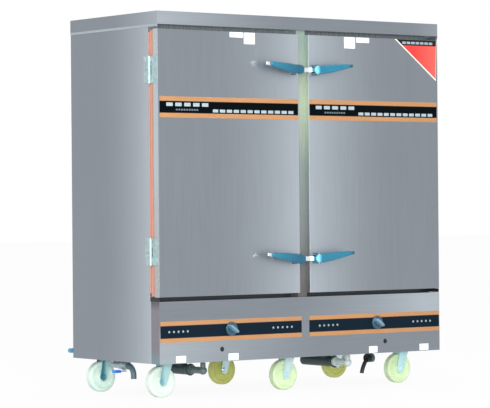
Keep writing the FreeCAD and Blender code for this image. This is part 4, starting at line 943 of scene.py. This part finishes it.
skirt = np.array([[4.0, 0.0], [27.2, 0.0], [28.0, 0.8], [28.0, 4.2], [27.2, 6.2], [25.4, 7.6], [22.0, 8.0],
                  [14.0, 7.2], [4.0, 7.0]]) / 1000
shaft = np.array([[4.0, 0.0005], [4.0, -31.3]]) / 1000
knob_x, knob_z, knob_gap = 0.378, 0.269, 0.0013
bar_length, bar_width, bar_root, bar_top, bar_slope = 0.051, 0.0135, 0.006, 0.0318, math.radians(38)
# The white plate on the dial's upper rim is a painted glint, shaped like a pointer mark.
glint_low, glint_high, glint_half, glint_out = 0.2888, 0.2952, 0.0045, 0.0066
for side, sign in (("left", -1.0), ("right", 1.0)):
    knob = f"{side}_knob"
    centre = np.array([sign * knob_x, FRONT - knob_gap, knob_z])
    dial = skin(f"{knob}_dial", spun(skirt, centre, 64), knob, knob_plastic)
    bar = grip_bar(centre, bar_length, bar_width, bar_root, bar_top, bar_slope)
    # The bar takes the lighter plastic: a painted highlight on the grip ridge.
    skin(f"{knob}_bar", bar, knob, knob_painted_highlight, sharp=50.0)
    skin(f"{knob}_shaft", spun(shaft, centre, 24), knob, chrome)
    glint = rounded(centre[0] - glint_half, centre[0] + glint_half, glint_low, glint_high, 0.0015)
    plates(f"{knob}_pointer", [glint], centre[1] - glint_out, 0.0004, knob, glint_white)
    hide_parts(f"{side}_gas_knob")
print("knobs at", knob_z)

# %% [markdown]
# The room is a white sweep: a large pale floor and soft light from all round. White is given only to
# rays that the camera, a gloss or a glass sends, so the background is clean while the cabinet keeps its
# plain tone and its shadow. A brighter room would wash out the steel.

# %% Floor and room
def seen_white(tree, shader, share):
    """Mixes white light into a surface for camera, glossy and transmission rays."""
    path = tree.nodes.new("ShaderNodeLightPath")
    either = tree.nodes.new("ShaderNodeMath")
    either.operation = "MAXIMUM"
    any_ray = tree.nodes.new("ShaderNodeMath")
    any_ray.operation = "MAXIMUM"
    amount = tree.nodes.new("ShaderNodeMath")
    amount.operation = "MULTIPLY"
    amount.inputs[1].default_value = share
    white = tree.nodes.new("ShaderNodeEmission")
    mix = tree.nodes.new("ShaderNodeMixShader")
    tree.links.new(path.outputs["Is Camera Ray"], either.inputs[0])
    tree.links.new(path.outputs["Is Glossy Ray"], either.inputs[1])
    tree.links.new(either.outputs[0], any_ray.inputs[0])
    tree.links.new(path.outputs["Is Transmission Ray"], any_ray.inputs[1])
    tree.links.new(any_ray.outputs[0], amount.inputs[0])
    tree.links.new(amount.outputs[0], mix.inputs[0])
    tree.links.new(shader, mix.inputs[1])
    tree.links.new(white.outputs[0], mix.inputs[2])
    return mix.outputs[0]


reach = 40
floor_corners = [(-reach, -reach, 0), (reach, -reach, 0), (reach, reach, 0), (-reach, reach, 0)]
floor_mesh = bpy.data.meshes.new("floor")
floor_mesh.from_pydata(floor_corners, [], [(0, 1, 2, 3)])
floor = bpy.data.objects.new("floor", floor_mesh)
bpy.context.scene.collection.objects.link(floor)
floor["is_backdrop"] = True
floor_recipe = Recipe("floor_paint", (0.86, 0.86, 0.86, 1), 0.0, 0.9)
floor_mesh.materials.append(floor_recipe.finish())
output = floor_recipe.tree.nodes["Material Output"]
floor_recipe.put(seen_white(floor_recipe.tree, floor_recipe.shader.outputs[0], 0.94), output.inputs[0])

world = bpy.data.worlds.new("room")
bpy.context.scene.world = world
world.use_nodes = True
background = world.node_tree.nodes["Background"]
background.inputs["Color"].default_value = (0.80, 0.82, 0.84, 1)
background.inputs["Strength"].default_value = 0.78
world.node_tree.links.new(seen_white(world.node_tree, background.outputs[0], 1.0),
                          world.node_tree.nodes["World Output"].inputs[0])
print("room strength", round(background.inputs["Strength"].default_value, 2))

# %% [markdown]
# One wide lamp stands in front and to the left, one above, and a low one beside the camera reaches under
# the cabinet. Wide lamps give soft edges to a shadow. A lamp shines along its own -Z axis, so its turn is
# written as side, upward and backward directions, like the camera's.

# %% Lamps
def lamp(name, place, target, size, power):
    """A wide soft lamp aimed at a point."""
    light = bpy.data.lights.new(name, "AREA")
    light.size, light.energy = size, power
    made = bpy.data.objects.new(name, light)
    bpy.context.scene.collection.objects.link(made)
    back = np.array(place, float) - target
    back /= np.linalg.norm(back)
    side = np.cross([0, 0, 1], back)
    side /= np.linalg.norm(side)
    turn = np.eye(4)
    turn[:3, 0], turn[:3, 1], turn[:3, 2], turn[:3, 3] = side, np.cross(back, side), back, place
    made.matrix_world = Matrix(turn.tolist())
    return made


lamp("key", (-3.6, -6.4, 4.6), (0, 0, 0.8), 3.0, 170.0)
lamp("top", (0.6, 0.4, 5.0), (0.1, 0, 0.8), 3.0, 60.0)
lamp("fill", (-5.4, -7.0, 0.9), (0, 0, 0.25), 2.5, 560.0)
view = bpy.context.scene.view_settings
view.view_transform = "Standard"
print("lamps", [light.name for light in bpy.data.lights])

# %% [markdown]
# Last, the sizes: the dressed object must stay in the packed model's box, so both boxes are kept.

# %% Keep the two boxes and finish
dressed_low, dressed_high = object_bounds()
growth = [round((b - a) * 1000, 2) for a, b in zip((*cad_low, *cad_high), (*dressed_low, *dressed_high))]
print("grown by", growth)
